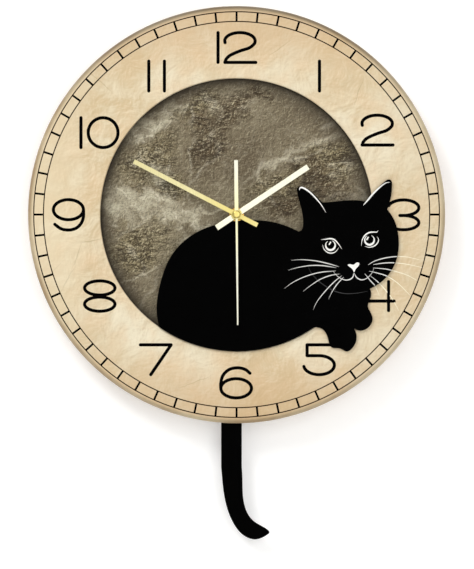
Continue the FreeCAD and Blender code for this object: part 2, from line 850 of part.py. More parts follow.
def hanger_plate():
    """A steel plate let into the cover, with the hole that goes over the wall hook."""
    body = new_body("hanger_plate")
    block(
        body,
        "-hanger_width / 2",
        "hanger_width / 2",
        "case_top - hanger_overlap",
        "case_top + hanger_reach",
        "0",
        "hanger_thickness",
    )
    top_corners = "min(4; hanger_width / 4)"
    round_edges(
        body,
        top_corners,
        lambda edge: runs_front_to_back(edge) and edge.CenterOfMass.z > number("case_top"),
    )
    bore(body, "hanging_hole_radius", "hanger_thickness", "hanger_thickness", "0", "hanging_hole_height")
    for x in ("hanger_screw_spread", "-hanger_screw_spread"):
        z = "case_top - hanger_overlap / 2"
        bore(body, "small_screw_radius", "hanger_thickness", "hanger_thickness", x, z)
        bore(body, "small_head_radius", "small_head_height", "small_head_height", x, z)
    return keep(body)


def hanger_screws():
    screws = [
        pan_screw(
            f"hanger_screw_{i}",
            x,
            "case_top - hanger_overlap / 2",
            "small_head_height",
            "2.8",
            "small_screw_radius",
            "small_head_radius",
            "small_head_height",
        )
        for i, x in enumerate(("hanger_screw_spread", "-hanger_screw_spread"), start=1)
    ]
    return keep(bundle("hanger_screws", screws))


def threaded_bushing():
    """The brass bushing moulded into the front wall, that the dial is clamped on."""
    return keep(
        turned(
            "threaded_bushing",
            [
                ("hour_pipe_bore", "inner_front"),
                ("bushing_flange_radius", "inner_front"),
                ("bushing_flange_radius", "inner_front + bushing_flange"),
                ("bushing_radius", "inner_front + bushing_flange"),
                ("bushing_radius", "bushing_front - bushing_chamfer"),
                ("bushing_radius - bushing_chamfer", "bushing_front"),
                ("hour_pipe_bore", "bushing_front"),
            ],
        )
    )


def shaft_nut():
    """A round open nut with two driving slots."""
    body = turned(
        "shaft_nut",
        [
            ("bushing_radius", "disc_front"),
            ("nut_radius", "disc_front"),
            ("nut_radius", "disc_front + nut_thickness - 0.3"),
            ("nut_radius - 0.3", "disc_front + nut_thickness"),
            ("bushing_radius", "disc_front + nut_thickness"),
        ],
    )
    recess(
        body,
        "-nut_radius",
        "nut_radius",
        "-nut_slot / 2",
        "nut_slot / 2",
        "disc_front + nut_thickness",
        "nut_thickness / 2",
    )
    return keep(body)


# ---------------------------------------------------------------------------------------------
# Hands
# ---------------------------------------------------------------------------------------------
def turn_to(body, angle):
    """Turns a hand clockwise from twelve o'clock, as seen from the front."""
    body.Placement = FreeCAD.Placement(body.Placement.Base, Rotation(Vector(0, 1, 0), number(angle)))
    body.setExpression("Placement.Rotation.Angle", formula(f"{angle} * 1deg"))


def bar_hand(name, hand, pipe_radius):
    """A straight bar with square ends on a round hub."""
    body = new_body(name)
    level = f"{hand}_level"
    thickness = f"{hand}_thickness"
    half = f"{hand}_width / 2"
    disc(body, "hub_radius", level, thickness)
    block(body, f"-{half}", half, f"-{hand}_tail", f"{hand}_reach", level, thickness)
    bore(body, pipe_radius, f"{hand}_front", thickness)
    turn_to(body, f"{hand}_angle")
    return keep(body)


def collet(name, hand, pipe_radius):
    """The ring pressed on the pipe behind a hand."""
    return keep(
        turned(
            name,
            [
                (pipe_radius, f"{hand}_level - collet_wall"),
                (f"{pipe_radius} + collet_wall", f"{hand}_level - collet_wall"),
                (f"{pipe_radius} + collet_wall", f"{hand}_level"),
                (pipe_radius, f"{hand}_level"),
            ],
        )
    )


def second_hand():
    """A tapered needle with a broad counterweight, a boss behind, all on the thin arbor."""
    body = new_body("second_hand")
    disc(body, "cap_radius", "second_level", "second_thickness")
    sketch = new_sketch(body, "second_level")
    polygon(
        sketch,
        [
            ("-second_width / 2", "0"),
            ("second_width / 2", "0"),
            ("second_tip / 2", "second_reach"),
            ("-second_tip / 2", "second_reach"),
        ],
    )
    pad(body, sketch, "second_thickness")
    half = "second_tail_width / 2"
    block(body, f"-{half}", half, "-second_tail", "0", "second_level", "second_thickness")
    boss_back = "minute_front + 0.4"
    disc(body, "second_boss_radius", boss_back, f"second_level - ({boss_back})")
    bore(body, "second_arbor_radius", "second_front", f"second_front - ({boss_back})")
    turn_to(body, "second_angle")
    return keep(body)


def second_hand_cap():
    """The small domed cap over the hands' axis."""
    body = turned(
        "second_hand_cap",
        [
            ("0", "second_front"),
            ("cap_radius", "second_front"),
            ("cap_radius", "second_front + cap_height"),
            ("0", "second_front + cap_height"),
        ],
    )
    dome = "min(cap_height; cap_radius) * 0.9"
    round_edges(body, dome, lambda edge: is_ring(edge, "cap_radius", "second_front + cap_height"))
    return keep(body)


# ---------------------------------------------------------------------------------------------
# Going train and motion work
# ---------------------------------------------------------------------------------------------
def arbor_body(name, x, z, radius, back, front):
    body = new_body(name, x=x, z=z)
    disc(body, radius, back, f"{front} - ({back})")
    return body


ARBOR_BACK = "bridge_back + 0.2"
PLATE_PIVOT = "middle_plate_front - 0.2"
WALL_PIVOT = "inner_front + pivot_depth"


def second_wheel():
    """The wheel on the hands' axis that turns once a minute, with its long arbor and its pinion."""
    arbor_front = "second_front"
    body = arbor_body("second_wheel", "0", "0", "second_arbor_radius", ARBOR_BACK, arbor_front)
    add_wheel(
        body, "second_teeth", "intermediate_module", "second_wheel_set", "wheel_width", "intermediate_direction"
    )
    add_pinion(
        body, "second_leaves", "second_module", "second_pinion_set", "pinion_width", "third_direction"
    )
    return keep(body)


def third_wheel():
    body = arbor_body("third_wheel", "third_x", "third_z", "arbor_radius", ARBOR_BACK, WALL_PIVOT)
    towards_centre = "third_direction + 180"
    add_wheel(body, "third_teeth", "second_module", "third_wheel_set", "wheel_width", towards_centre)
    add_pinion(body, "third_leaves", "third_module", "third_pinion_set", "pinion_width", towards_centre)
    return keep(body)


def intermediate_wheel():
    """The wheel between the motor and the seconds wheel."""
    body = arbor_body(
        "intermediate_wheel", "intermediate_x", "intermediate_z", "arbor_radius", ARBOR_BACK, PLATE_PIVOT
    )
    add_wheel(
        body,
        "intermediate_teeth",
        "rotor_module",
        "intermediate_wheel_set",
        "wheel_width",
        "rotor_direction",
    )
    add_pinion(
        body,
        "intermediate_leaves",
        "intermediate_module",
        "intermediate_pinion_set",
        "pinion_width",
        "intermediate_direction + 180",
    )
    return keep(body)


def rotor_pinion():
    body = arbor_body("rotor_pinion", "rotor_x", "rotor_z", "arbor_radius", ARBOR_BACK, PLATE_PIVOT)
    add_pinion(
        body, "rotor_leaves", "rotor_module", "rotor_pinion_set", "pinion_width", "rotor_direction + 180"
    )
    return keep(body)


def rotor_magnet():
    """The two-pole ring magnet pressed on the rotor's arbor."""
    front = "inner_front - magnet_set"
    return keep(
        turned(
            "rotor_magnet",
            [
                ("arbor_radius", f"{front} - magnet_length"),
                ("magnet_radius", f"{front} - magnet_length"),
                ("magnet_radius", front),
                ("arbor_radius", front),
            ],
            "rotor_x",
            "rotor_z",
        )
    )


def centre_wheel():
    """The wheel that turns once an hour, free on the seconds arbor behind the cannon pinion."""
    body = new_body("centre_wheel")
    add_wheel(body, "centre_teeth", "third_module", "centre_wheel_set", "wheel_width", "third_direction")
    bore(body, "second_arbor_bore", "inner_front - centre_wheel_set", "wheel_width")
    return keep(body)


def clutch_washer():
    """The spring washer through which the centre wheel carries the cannon pinion round."""
    front = "inner_front - clutch_set"
    return keep(
        turned(
            "clutch_washer",
            [
                ("second_arbor_bore", f"{front} - clutch_thickness"),
                ("minute_pipe_radius", f"{front} - clutch_thickness"),
                ("minute_pipe_radius", front),
                ("second_arbor_bore", front),
            ],
        )
    )


def cannon_pinion():
    """The pinion with the minute hand's long pipe."""
    body = new_body("cannon_pinion")
    back = "inner_front - cannon_set - pinion_width + loose_fit"
    disc(body, "minute_pipe_radius", back, f"minute_front - ({back})")
    add_pinion(
        body,
        "cannon_leaves",
        "cannon_module",
        "cannon_set",
        "(pinion_width - loose_fit)",
        "works_direction",
    )
    bore(body, "second_arbor_bore", "minute_front", f"minute_front - ({back})")
    return keep(body)


def hour_wheel():
    """The wheel with the hour hand's pipe, over the minute pipe."""
    body = new_body("hour_wheel")
    back = "inner_front - hour_wheel_set - wheel_width"
    disc(body, "hour_pipe_radius", back, f"hour_front - ({back})")
    add_wheel(body, "hour_teeth", "works_module", "hour_wheel_set", "wheel_width", "works_direction")
    bore(body, "minute_pipe_bore", "hour_front", f"hour_front - ({back})")
    return keep(body)


def minute_works_wheel():
    """The reduction wheel from the minute to the hour pipe, on the setting arbor."""
    body = arbor_body(
        "minute_works_wheel", "works_x", "works_z", "works_arbor_radius", "knob_bottom - 1.5", WALL_PIVOT
    )
    towards_centre = "works_direction + 180"
    add_wheel(body, "works_teeth", "cannon_module", "works_wheel_set", "wheel_width", towards_centre)
    add_pinion(body, "works_leaves", "works_module", "works_pinion_set", "pinion_width", towards_centre)
    return keep(body)


def setting_knob():
    """The ribbed knob in its well, pressed on the setting arbor."""
    back = "knob_bottom - knob_thickness"
    body = turned(
        "setting_knob",
        [
            ("0", back),
            ("knob_radius", back),
            ("knob_radius", "knob_bottom"),
            ("0", "knob_bottom"),
        ],
        "works_x",
        "works_z",
    )
    bore(body, "works_arbor_radius", "knob_bottom", "1.5")
    sketch = new_sketch(body, "knob_bottom")
    circle(sketch, "knob_radius / 12", "knob_radius")
    groove = pocket(body, sketch, "knob_thickness")
    pattern = body.newObject("PartDesign::PolarPattern", "knob_grooves")
    pattern.Originals = [groove]
    pattern.Axis = (sketch, ["N_Axis"])
    pattern.Angle = 360
    pattern.Occurrences = round(number("knob_grooves"))
    body.Tip = pattern
    doc.recompute()
    bore(body, "knob_radius * 0.7", f"{back} + knob_dish", "knob_dish")
    half = "knob_radius / 10"
    block(body, "-knob_radius * 0.65", "knob_radius * 0.65", f"-{half}", half, back, "1")
    return keep(body)


def train_bridge():
    """The plate that carries the rear pivots, cut away round the knob's well."""
    body = new_body("train_bridge")
    right = "half_width - case_wall - bridge_gap"
    top = "upper_pillar_z + bridge_margin"
    left = "-lower_pillar_x - bridge_margin"
    bottom = "-lower_pillar_z - bridge_margin"
    sketch = new_sketch(body, "bridge_back")
    polygon(
        sketch,
        [
            ("-upper_pillar_x - bridge_margin", top),
            (left, "bridge_margin - lower_pillar_z"),
            (left, bottom),
            ("bridge_margin - lower_pillar_x", bottom),
            ("bridge_waist_x", "-bridge_waist_z"),
            (right, "side_pillar_z - bridge_margin"),
            (right, "side_pillar_z + bridge_margin"),
            ("rotor_x + bridge_margin", "rotor_z + bridge_margin"),
            ("bridge_margin - upper_pillar_x", top),
        ],
    )
    pad(body, sketch, "bridge_thickness")
    bore(
        body,
        "well_radius + well_wall + loose_fit",
        "bridge_front",
        "bridge_thickness",
        "works_x",
        "works_z",
    )
    bore(body, "second_arbor_radius + running_fit", "bridge_front", "bridge_thickness")
    for x, z in (("third_x", "third_z"), ("intermediate_x", "intermediate_z"), ("rotor_x", "rotor_z")):
        bore(body, "pivot_bore", "bridge_front", "bridge_thickness", x, z)
    for x, z in BRIDGE_PILLARS:
        bore(body, "small_screw_radius", "bridge_front", "bridge_thickness", x, z)
    round_edges(
        body,
        "min(2; well_radius)",
        lambda edge: runs_front_to_back(edge) and edge.CenterOfMass.x < -number("upper_pillar_x + bridge_margin / 2"),
    )
    return keep(body)


def middle_plate():
    """The small plate that carries the motor's and the intermediate wheel's front pivots."""
    body = new_body("middle_plate")
    back = "middle_plate_front - wheel_width"
    sketch = new_sketch(body, back)
    polygon(
        sketch,
        [
            ("intermediate_x - 2.6", "intermediate_z - 2.6"),
            ("intermediate_x + 3", "intermediate_z - 2.6"),
            ("rotor_x + 7", "rotor_z - 8"),
            ("rotor_x + 11.4", "rotor_z - 8"),
            ("rotor_x + 11.4", "rotor_z - 3"),
            ("rotor_x + 3", "rotor_z + 3"),
            ("intermediate_x + 2.6", "intermediate_z + 11.4"),
            ("intermediate_x - 2.6", "intermediate_z + 11.4"),
        ],
    )
    pad(body, sketch, "wheel_width")
    for x, z in (("intermediate_x", "intermediate_z"), ("rotor_x", "rotor_z")):
        bore(body, "pivot_bore", "middle_plate_front", "wheel_width", x, z)
    for x, z in PLATE_PILLARS:
        bore(body, "small_screw_radius", "middle_plate_front", "wheel_width", x, z)
    round_edges(body, "min(1.5; pillar_radius)", lambda edge: is_outer_corner(edge, body))
    return keep(body)


def is_outer_corner(edge, body):
    """True for a plate's corner, false for the seam of a bore."""
    return runs_front_to_back(edge) and not any(
        isinstance(face.Surface, Part.Cylinder) and any(edge.isSame(seam) for seam in face.Edges)
        for face in body.Shape.Faces
    )


def small_screw(name, x, z, seat, length):
    return pan_screw(
        name, x, z, seat, length, "small_screw_radius", "small_head_radius", "small_head_height"
    )


def bridge_screws():
    """Screws of the train bridge and the middle plate."""
    screws = []
    for i, (x, z) in enumerate(BRIDGE_PILLARS, start=1):
        screws.append(small_screw(f"bridge_screw_{i}", x, z, "bridge_back", "bridge_thickness + 2.8"))
    for i, (x, z) in enumerate(PLATE_PILLARS, start=len(BRIDGE_PILLARS) + 1):
        seat = "middle_plate_front - wheel_width"
        screws.append(small_screw(f"bridge_screw_{i}", x, z, seat, "wheel_width + 2.8"))
    return keep(bundle("bridge_screws", screws))


# ---------------------------------------------------------------------------------------------
# Stepping motor and circuit
# ---------------------------------------------------------------------------------------------
def stator():
    """The soft iron plate round the rotor, with two legs up to the coil's core."""
    body = new_body("stator")
    left, right = "-stator_left", "stator_right"
    bar_top = "rotor_z + stator_half_height"
    leg_top = "core_height + core_width / 2 + 0.5"
    sketch = new_sketch(body, "stator_front - stator_thickness")
    polygon(
        sketch,
        [
            (left, "rotor_z - stator_half_height"),
            (right, "rotor_z - stator_half_height"),
            (right, leg_top),
            ("stator_right - stator_leg", leg_top),
            ("stator_right - stator_leg", bar_top),
            ("stator_leg - stator_left", bar_top),
            ("stator_leg - stator_left", leg_top),
            (left, leg_top),
        ],
    )
    pad(body, sketch, "stator_thickness")
    bore(
        body,
        "magnet_radius + stator_gap",
        "stator_front",
        "stator_thickness",
        "rotor_x",
        "rotor_z",
    )
    for x, z in STATOR_PILLARS:
        bore(body, "small_screw_radius", "stator_front", "stator_thickness", x, z)
    return keep(body)


def coil_core():
    """The iron strip through the coil, screwed under the stator's legs."""
    body = new_body("coil_core")
    half = "core_width / 2"
    block(
        body,
        "-stator_left",
        "stator_right",
        f"core_height - {half}",
        f"core_height + {half}",
        "stator_front",
        "stator_thickness",
    )
    for x, z in STATOR_PILLARS:
        bore(body, "small_screw_radius", "core_front", "stator_thickness", x, z)
    return keep(body)


def coil_bobbin():
    """The plastic former on the core, between the stator's legs."""
    body = new_body("coil_bobbin", level="core_level", z="core_height")
    revolve(
        body,
        [
            ("bobbin_left", "0"),
            ("bobbin_left", "bobbin_radius"),
            ("bobbin_left + bobbin_flange", "bobbin_radius"),
            ("bobbin_left + bobbin_flange", "bobbin_barrel"),
            ("bobbin_right - bobbin_flange", "bobbin_barrel"),
            ("bobbin_right - bobbin_flange", "bobbin_radius"),
            ("bobbin_right", "bobbin_radius"),
            ("bobbin_right", "0"),
        ],
        "H_Axis",
    )
    slot = "(stator_thickness / 2 + running_fit)"
    half = "core_width / 2 + running_fit"
    recess(body, "bobbin_left", "bobbin_right", f"-({half})", half, slot, f"2 * {slot}")
    return keep(body)


def coil_winding():
    body = new_body("coil_winding", level="core_level", z="core_height")
    left = "bobbin_left + bobbin_flange"
    right = "bobbin_right - bobbin_flange"
    revolve(
        body,
        [
            (left, "bobbin_barrel"),
            (left, "winding_radius"),
            (right, "winding_radius"),
            (right, "bobbin_barrel"),
        ],
        "H_Axis",
    )
    return keep(body)


def stator_screws():
    screws = []
    for i, (x, z) in enumerate(STATOR_PILLARS, start=1):
        seat = "stator_front - stator_thickness"
        screws.append(small_screw(f"stator_screw_{i}", x, z, seat, "2 * stator_thickness + 2.8"))
    return keep(bundle("stator_screws", screws))


def circuit_board():
    """The board of the quartz circuit, staked on pins of the cover."""
    body = new_body("circuit_board")
    block(
        body,
        "-board_left",
        "-board_right",
        "-board_bottom",
        "board_top",
        "cover_thickness",
        "board_thickness",
    )
    for x, z in BOARD_PINS:
        bore(body, "pin_radius + running_fit", "board_front", "board_thickness", x, z)
    return keep(body)


def timing_chip():
    """The chip under its drop of resin."""
    body = turned(
        "timing_chip",
        [
            ("0", "board_front"),
            ("chip_radius", "board_front"),
            ("chip_radius - chip_round", "board_front + chip_height * 0.75"),
            ("0", "board_front + chip_height"),
        ],
        "-board_left / 2",
        "pin_inset",
    )
    return keep(body)


def quartz_crystal():
    """The crystal in its small can, lying along the board's lower edge."""
    body = new_body(
        "quartz_crystal",
        x="crystal_inset - board_left",
        level="board_front + crystal_radius",
        z="crystal_radius * 4 / 3 - board_bottom",
    )
    revolve(
        body,
        [
            ("0", "0"),
            ("0", "crystal_radius"),
            ("crystal_length - crystal_radius / 2", "crystal_radius"),
            ("crystal_length", "crystal_radius * 2 / 3"),
            ("crystal_length", "0"),
        ],
        "H_Axis",
    )
    return keep(body)


# ---------------------------------------------------------------------------------------------
# Battery
# ---------------------------------------------------------------------------------------------
def battery_cell():
    """An AA cell lying across the case, its nub to the right."""
    body = new_body("battery_cell", level="cell_level", z="-cell_drop")
    left = "-cell_length / 2"
    right = "cell_length / 2"
    revolve(
        body,
        [
            (left, "0"),
            (left, "cell_radius - 1.2"),
            (f"{left} + 0.4", "cell_radius - 0.8"),
            (f"{left} + 0.4", "cell_radius"),
            (f"{right} - cell_nub - 0.4", "cell_radius"),
            (f"{right} - cell_nub", "cell_radius - 0.8"),
            (f"{right} - cell_nub", "cell_nub_radius"),
            (right, "cell_nub_radius - 0.3"),
            (right, "0"),
        ],
        "H_Axis",
    )
    return keep(body)


def battery_contact_plus():
    """The flat contact plate at the nub's end, with a raised pip."""
    body = new_body("battery_contact_plus", level="cell_level", z="-cell_drop")
    end = "tray_half_length"
    revolve(
        body,
        [
            (end, "0"),
            (end, "cell_radius - contact_inset"),
            (f"{end} - contact_thickness", "cell_radius - contact_inset"),
            (f"{end} - contact_thickness", "pip_radius"),
            ("cell_length / 2 + running_fit", "pip_radius * 0.6"),
            ("cell_length / 2 + running_fit", "0"),
        ],
        "H_Axis",
    )
    return keep(body)


def battery_contact_minus():
    """A conical spring contact at the flat end, as stepped rings on a base plate."""
    body = new_body("battery_contact_minus", level="cell_level", z="-cell_drop")
    end = "-tray_half_length"
    tip = "-cell_length / 2 - running_fit"
    revolve(
        body,
        [
            (end, "0"),
            (end, "cell_radius - contact_inset"),
            (f"{end} + contact_thickness", "cell_radius - contact_inset"),
            (f"{end} + contact_thickness", "spring_base_radius"),
            (tip, "spring_tip_radius"),
            (tip, "spring_tip_radius - spring_wall"),
            (f"{end} + contact_thickness", "spring_base_radius - spring_wall"),
            (f"{end} + contact_thickness", "0"),
        ],
        "H_Axis",
    )
    return keep(body)


# ---------------------------------------------------------------------------------------------
# Pendulum drive and tail
# ---------------------------------------------------------------------------------------------
def pivot_pin():
    """The steel pin that the tail's lever swings on."""
    return keep(
        turned(
            "pivot_pin",
            [
                ("0", "cover_thickness + running_fit"),
                ("pivot_pin_radius", "cover_thickness + running_fit"),
                ("pivot_pin_radius", "inner_front + pivot_depth"),
                ("0", "inner_front + pivot_depth"),
            ],
            z="-pivot_drop",
        )
    )


def pendulum_lever():
    """The plastic lever: a hub on the pin, a flat blade out of the case, and two pegs for the tail."""
    body = new_body("pendulum_lever", z="-pivot_drop")
    hub_back = "pivot_bosses_near + lever_end_gap"
    disc(body, "lever_hub_radius", hub_back, "lever_hub_length")
    half = "lever_width / 2"
    blade_end = "lower_peg_drop + tail_peg_radius + tail_peg_gap"
    block(body, f"-{half}", half, f"-({blade_end})", "0", "lever_level", "lever_thickness")
    disc(body, "drive_magnet_radius + 0.8", "lever_level", "lever_thickness", z="-drive_reach")
    for drop in ("upper_peg_drop", "lower_peg_drop"):
        disc(body, "tail_peg_radius", "lever_front", "tail_thickness", z=f"-({drop})")
        disc(body, "tail_peg_radius + 0.7", "lever_front + tail_thickness", "0.6", z=f"-({drop})")
    bore(body, "pivot_pin_radius + running_fit", f"{hub_back} + lever_hub_length", "lever_hub_length")
    round_edges(
        body,
        "min(2.5; lever_width / 2.2)",
        lambda edge: runs_front_to_back(edge) and edge.CenterOfMass.z < -number(blade_end) + 0.1,
    )
    return keep(body)


def drive_magnet():
    """The magnet on the lever's rear face, kicked by the coil behind it."""
    level = "lever_level"
    return keep(
        turned(
            "drive_magnet",
            [
                ("0", f"{level} - drive_magnet_length"),
                ("drive_magnet_radius", f"{level} - drive_magnet_length"),
                ("drive_magnet_radius", level),
                ("0", level),
            ],
            z="-pivot_drop - drive_reach",
        )
    )


def pendulum_bobbin():
    level = "board_front"
    barrel = "drive_barrel_radius"
    flange = "drive_bobbin_radius"
    return keep(
        turned(
            "pendulum_bobbin",
            [
                ("drive_bore_radius", level),
                (flange, level),
                (flange, f"{level} + drive_flange"),
                (barrel, f"{level} + drive_flange"),
                (barrel, "drive_coil_front - drive_flange"),
                (flange, "drive_coil_front - drive_flange"),
                (flange, "drive_coil_front"),
                ("drive_bore_radius", "drive_coil_front"),
            ],
            z="-pivot_drop - drive_reach",
        )
    )


def pendulum_winding():
    return keep(
        turned(
            "pendulum_winding",
            [
                ("drive_barrel_radius", "board_front + drive_flange"),
                ("drive_winding_radius", "board_front + drive_flange"),
                ("drive_winding_radius", "drive_coil_front - drive_flange"),
                ("drive_barrel_radius", "drive_coil_front - drive_flange"),
            ],
            z="-pivot_drop - drive_reach",
        )
    )


def pendulum_board():
    """The small board behind the drive coil, staked on two pins of the cover."""
    body = new_body("pendulum_board", z="-pivot_drop - drive_reach")
    block(
        body,
        "-drive_board_half_width",
        "drive_board_half_width",
        "-drive_board_half_height",
        "drive_board_half_height",
        "cover_thickness",
        "board_thickness",
    )
    for x, z in DRIVE_BOARD_PINS:
        bore(body, "pin_radius + running_fit", "board_front", "board_thickness", x, z)
    return keep(body)


# The tail's curl, from where its straight stretch ends to the tip, as multiples of the tail's width:
# (across from the middle of the straight stretch, up from the tail's lowest point).
CURL_OUTER = [(-0.5, 3.5), (-0.39, 2.37), (-0.2, 1.48), (0.12, 0.74), (0.53, 0.24), (0.9, 0.04), (1.12, 0.0)]
CURL_OUTER += [(1.5, 0.09), (1.75, 0.24)]
CURL_TIP = [(1.75, 0.24), (1.84, 0.34), (1.77, 0.45)]
CURL_INNER = [(1.77, 0.45), (1.49, 0.63), (1.12, 0.85), (0.82, 1.19), (0.64, 1.63), (0.55, 2.22), (0.5, 3.5)]


def tail():
    """The flat tail: a straight stretch down from the lever and a curl at its end, hung on two pegs."""
    width = number("tail_width")
    middle = -number("tail_shift")
    lowest = -number("tail_tip_drop")
    top = -number("tail_top_drop")

    def set_out(points):
        return [(middle + across * width, lowest + up * width) for across, up in points]

    outer, tip, inner = set_out(CURL_OUTER), set_out(CURL_TIP), set_out(CURL_INNER)
    shoulder = width / 4
    left = (middle - width / 2, top - shoulder)
    right = (middle + width / 2, top - shoulder)
    crown = [right, (middle + width / 4, top), (middle - width / 4, top), left]
    edges = spline_outline([[left, outer[0]], outer, tip, inner, [inner[-1], right], crown])
    face = Part.Face(Part.Wire(Part.__sortEdges__(edges)))
    solid = face.extrude(Vector(0, -number("tail_thickness"), 0))
    for drop in ("upper_peg_drop", "lower_peg_drop"):
        hole_radius = number("tail_peg_radius + running_fit")
        start = Vector(0, 1, -number(drop))
        solid = solid.cut(Part.makeCylinder(hole_radius, 20, start, Vector(0, -1, 0)))
    piece = doc.addObject("Part::Feature", "tail")
    piece.Label = "tail"
    piece.Shape = solid
    piece.Placement.Base = Vector(0, -number("lever_front"), -number("pivot_drop"))
    return keep(piece)


# ---------------------------------------------------------------------------------------------
# The whole clock
# ---------------------------------------------------------------------------------------------
def check_and_write():
    """Stops on any failed object or bad solid, then writes one STEP file for each node."""
    doc.recompute()
    for item in doc.Objects:
        failed = {"Invalid", "Error"} & set(item.State)
        if failed:
            raise RuntimeError(f"{item.Name} failed: {item.State}")
    for piece in nodes:
        if piece.Shape.isNull() or not piece.Shape.isValid():
            raise RuntimeError(f"{piece.Label} has no valid shape")
    os.makedirs("parts", exist_ok=True)
    for piece in nodes:
        piece.Shape.exportStep(f"parts/{piece.Label}.step")
        print(piece.Label, len(piece.Shape.Solids), round(piece.Shape.Volume, 1))


dial_ring()
stone_disc()
rubber_washer()
cat_cutout()
cat_foam_pads()
movement_front_case()
movement_rear_cover()
cover_screws()
hanger_plate()
hanger_screws()
threaded_bushing()
shaft_nut()
bar_hand("hour_hand", "hour", "hour_pipe_radius")
collet("hour_collet", "hour", "hour_pipe_radius")
bar_hand("minute_hand", "minute", "minute_pipe_radius")
collet("minute_collet", "minute", "minute_pipe_radius")
second_hand()
second_hand_cap()
second_wheel()
third_wheel()
intermediate_wheel()
rotor_pinion()
rotor_magnet()
centre_wheel()
clutch_washer()
cannon_pinion()
hour_wheel()
minute_works_wheel()
setting_knob()
train_bridge()
middle_plate()
bridge_screws()
stator()
coil_core()
coil_bobbin()
coil_winding()
stator_screws()
circuit_board()
timing_chip()
quartz_crystal()
battery_cell()
battery_contact_plus()
battery_contact_minus()
pivot_pin()
pendulum_lever()
drive_magnet()
pendulum_bobbin()
pendulum_winding()
pendulum_board()
tail()
check_and_write()
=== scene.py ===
# %% [markdown]
# # A cat tail wall clock
# A round wall clock made of flat layers: a ring printed like old paper, a sunken disc printed like stone,
# a black cat, three gold hands, and the cat's tail as a swinging pendulum behind. The solid parts come
# from the CAD frame. This lesson gives them their finishes, prints the dial, draws the cat's face, and
# models the fine things that CAD leaves plain.

# %% Load the fixed frame
import json
import math

import bpy
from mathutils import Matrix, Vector


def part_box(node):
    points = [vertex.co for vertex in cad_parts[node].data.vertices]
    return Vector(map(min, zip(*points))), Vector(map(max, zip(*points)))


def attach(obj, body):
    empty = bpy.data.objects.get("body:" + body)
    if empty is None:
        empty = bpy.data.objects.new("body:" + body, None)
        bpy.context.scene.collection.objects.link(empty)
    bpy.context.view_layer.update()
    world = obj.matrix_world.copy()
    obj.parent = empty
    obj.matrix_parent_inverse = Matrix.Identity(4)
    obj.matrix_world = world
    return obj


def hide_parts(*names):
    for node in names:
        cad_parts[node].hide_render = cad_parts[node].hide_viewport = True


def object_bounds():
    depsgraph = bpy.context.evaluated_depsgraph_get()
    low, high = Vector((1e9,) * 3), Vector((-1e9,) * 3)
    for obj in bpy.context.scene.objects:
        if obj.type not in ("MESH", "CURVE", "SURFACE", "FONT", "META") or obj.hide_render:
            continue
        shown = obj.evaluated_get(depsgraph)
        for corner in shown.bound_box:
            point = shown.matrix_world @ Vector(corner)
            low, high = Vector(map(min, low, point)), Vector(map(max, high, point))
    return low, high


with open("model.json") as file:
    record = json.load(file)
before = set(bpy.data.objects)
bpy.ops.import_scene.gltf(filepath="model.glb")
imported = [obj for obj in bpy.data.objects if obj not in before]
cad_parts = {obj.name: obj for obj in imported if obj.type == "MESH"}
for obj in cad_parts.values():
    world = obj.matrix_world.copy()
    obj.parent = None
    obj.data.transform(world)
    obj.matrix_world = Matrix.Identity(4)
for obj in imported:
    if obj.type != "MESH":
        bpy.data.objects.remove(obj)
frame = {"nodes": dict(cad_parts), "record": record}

MM = 0.001
cad_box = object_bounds()
print("CAD box in mm:", [[round(c / MM, 1) for c in corner] for corner in cad_box])

# %% [markdown]
# Everything is placed from the frame. The clock faces -Y, so the front of a layer is its lowest Y. The
# hands' axis goes through the origin, which makes radii and clock angles easy.

# %% Levels read from the frame
RING_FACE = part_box("dial_ring")[0].y
CAT_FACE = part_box("cat_cutout")[0].y
print("faces at y, in mm: ring", round(RING_FACE / MM, 1), "cat", round(CAT_FACE / MM, 1))

# %% [markdown]
# ## Camera
# The clock is seen straight on. A long lens far away flattens the view, so the layers don't slide over
# each other.

# %% Camera
PICTURE_HEIGHT = 408.4 * MM
PICTURE_CENTRE = Vector((0.3 * MM, RING_FACE, -50.2 * MM))
LENS = 200.0
SENSOR = 36.0
camera_data = bpy.data.cameras.new("camera")
camera_data.lens = LENS
camera_data.sensor_width = SENSOR
camera = bpy.data.objects.new("camera", camera_data)
bpy.context.scene.collection.objects.link(camera)
camera.location = PICTURE_CENTRE - Vector((0, PICTURE_HEIGHT * LENS / SENSOR, 0))
camera.rotation_euler = (math.radians(90), 0, 0)
bpy.context.scene.camera = camera
print("camera stands", round(-camera.location.y, 2), "m in front of the wall")

# %% [markdown]
# ## Material helpers
# A material is a small network of nodes. One helper adds a node, sets what is fixed and links what
# comes from another node. Colours are named as a paint program shows them, so they are turned into
# linear light first.


# %% Node helpers
def paint(red, green, blue):
    """A colour from 0 to 255 as linear light with full alpha."""
    shares = [channel / 255 for channel in (red, green, blue)]
    linear = [s / 12.92 if s <= 0.04045 else ((s + 0.055) / 1.055) ** 2.4 for s in shares]
    return (*linear, 1.0)


def add(tree, kind, sockets=None, **settings):
    """Adds a node; a socket given as a value is linked, and anything else is set."""
    node = tree.nodes.new(kind)
    for name, value in settings.items():
        setattr(node, name, value)
    for name, value in (sockets or {}).items():
        if isinstance(value, bpy.types.NodeSocket):
            tree.links.new(value, node.inputs[name])
        else:
            node.inputs[name].default_value = value
    return node


def mix(tree, factor, first, second, blend="MIX"):
    """Blends two colours and gives the result's socket."""
    node = tree.nodes.new("ShaderNodeMix")
    node.data_type = "RGBA"
    node.blend_type = blend
    for index, value in ((0, factor), (6, first), (7, second)):
        if isinstance(value, bpy.types.NodeSocket):
            tree.links.new(value, node.inputs[index])
        else:
            node.inputs[index].default_value = value
    return node.outputs[2]


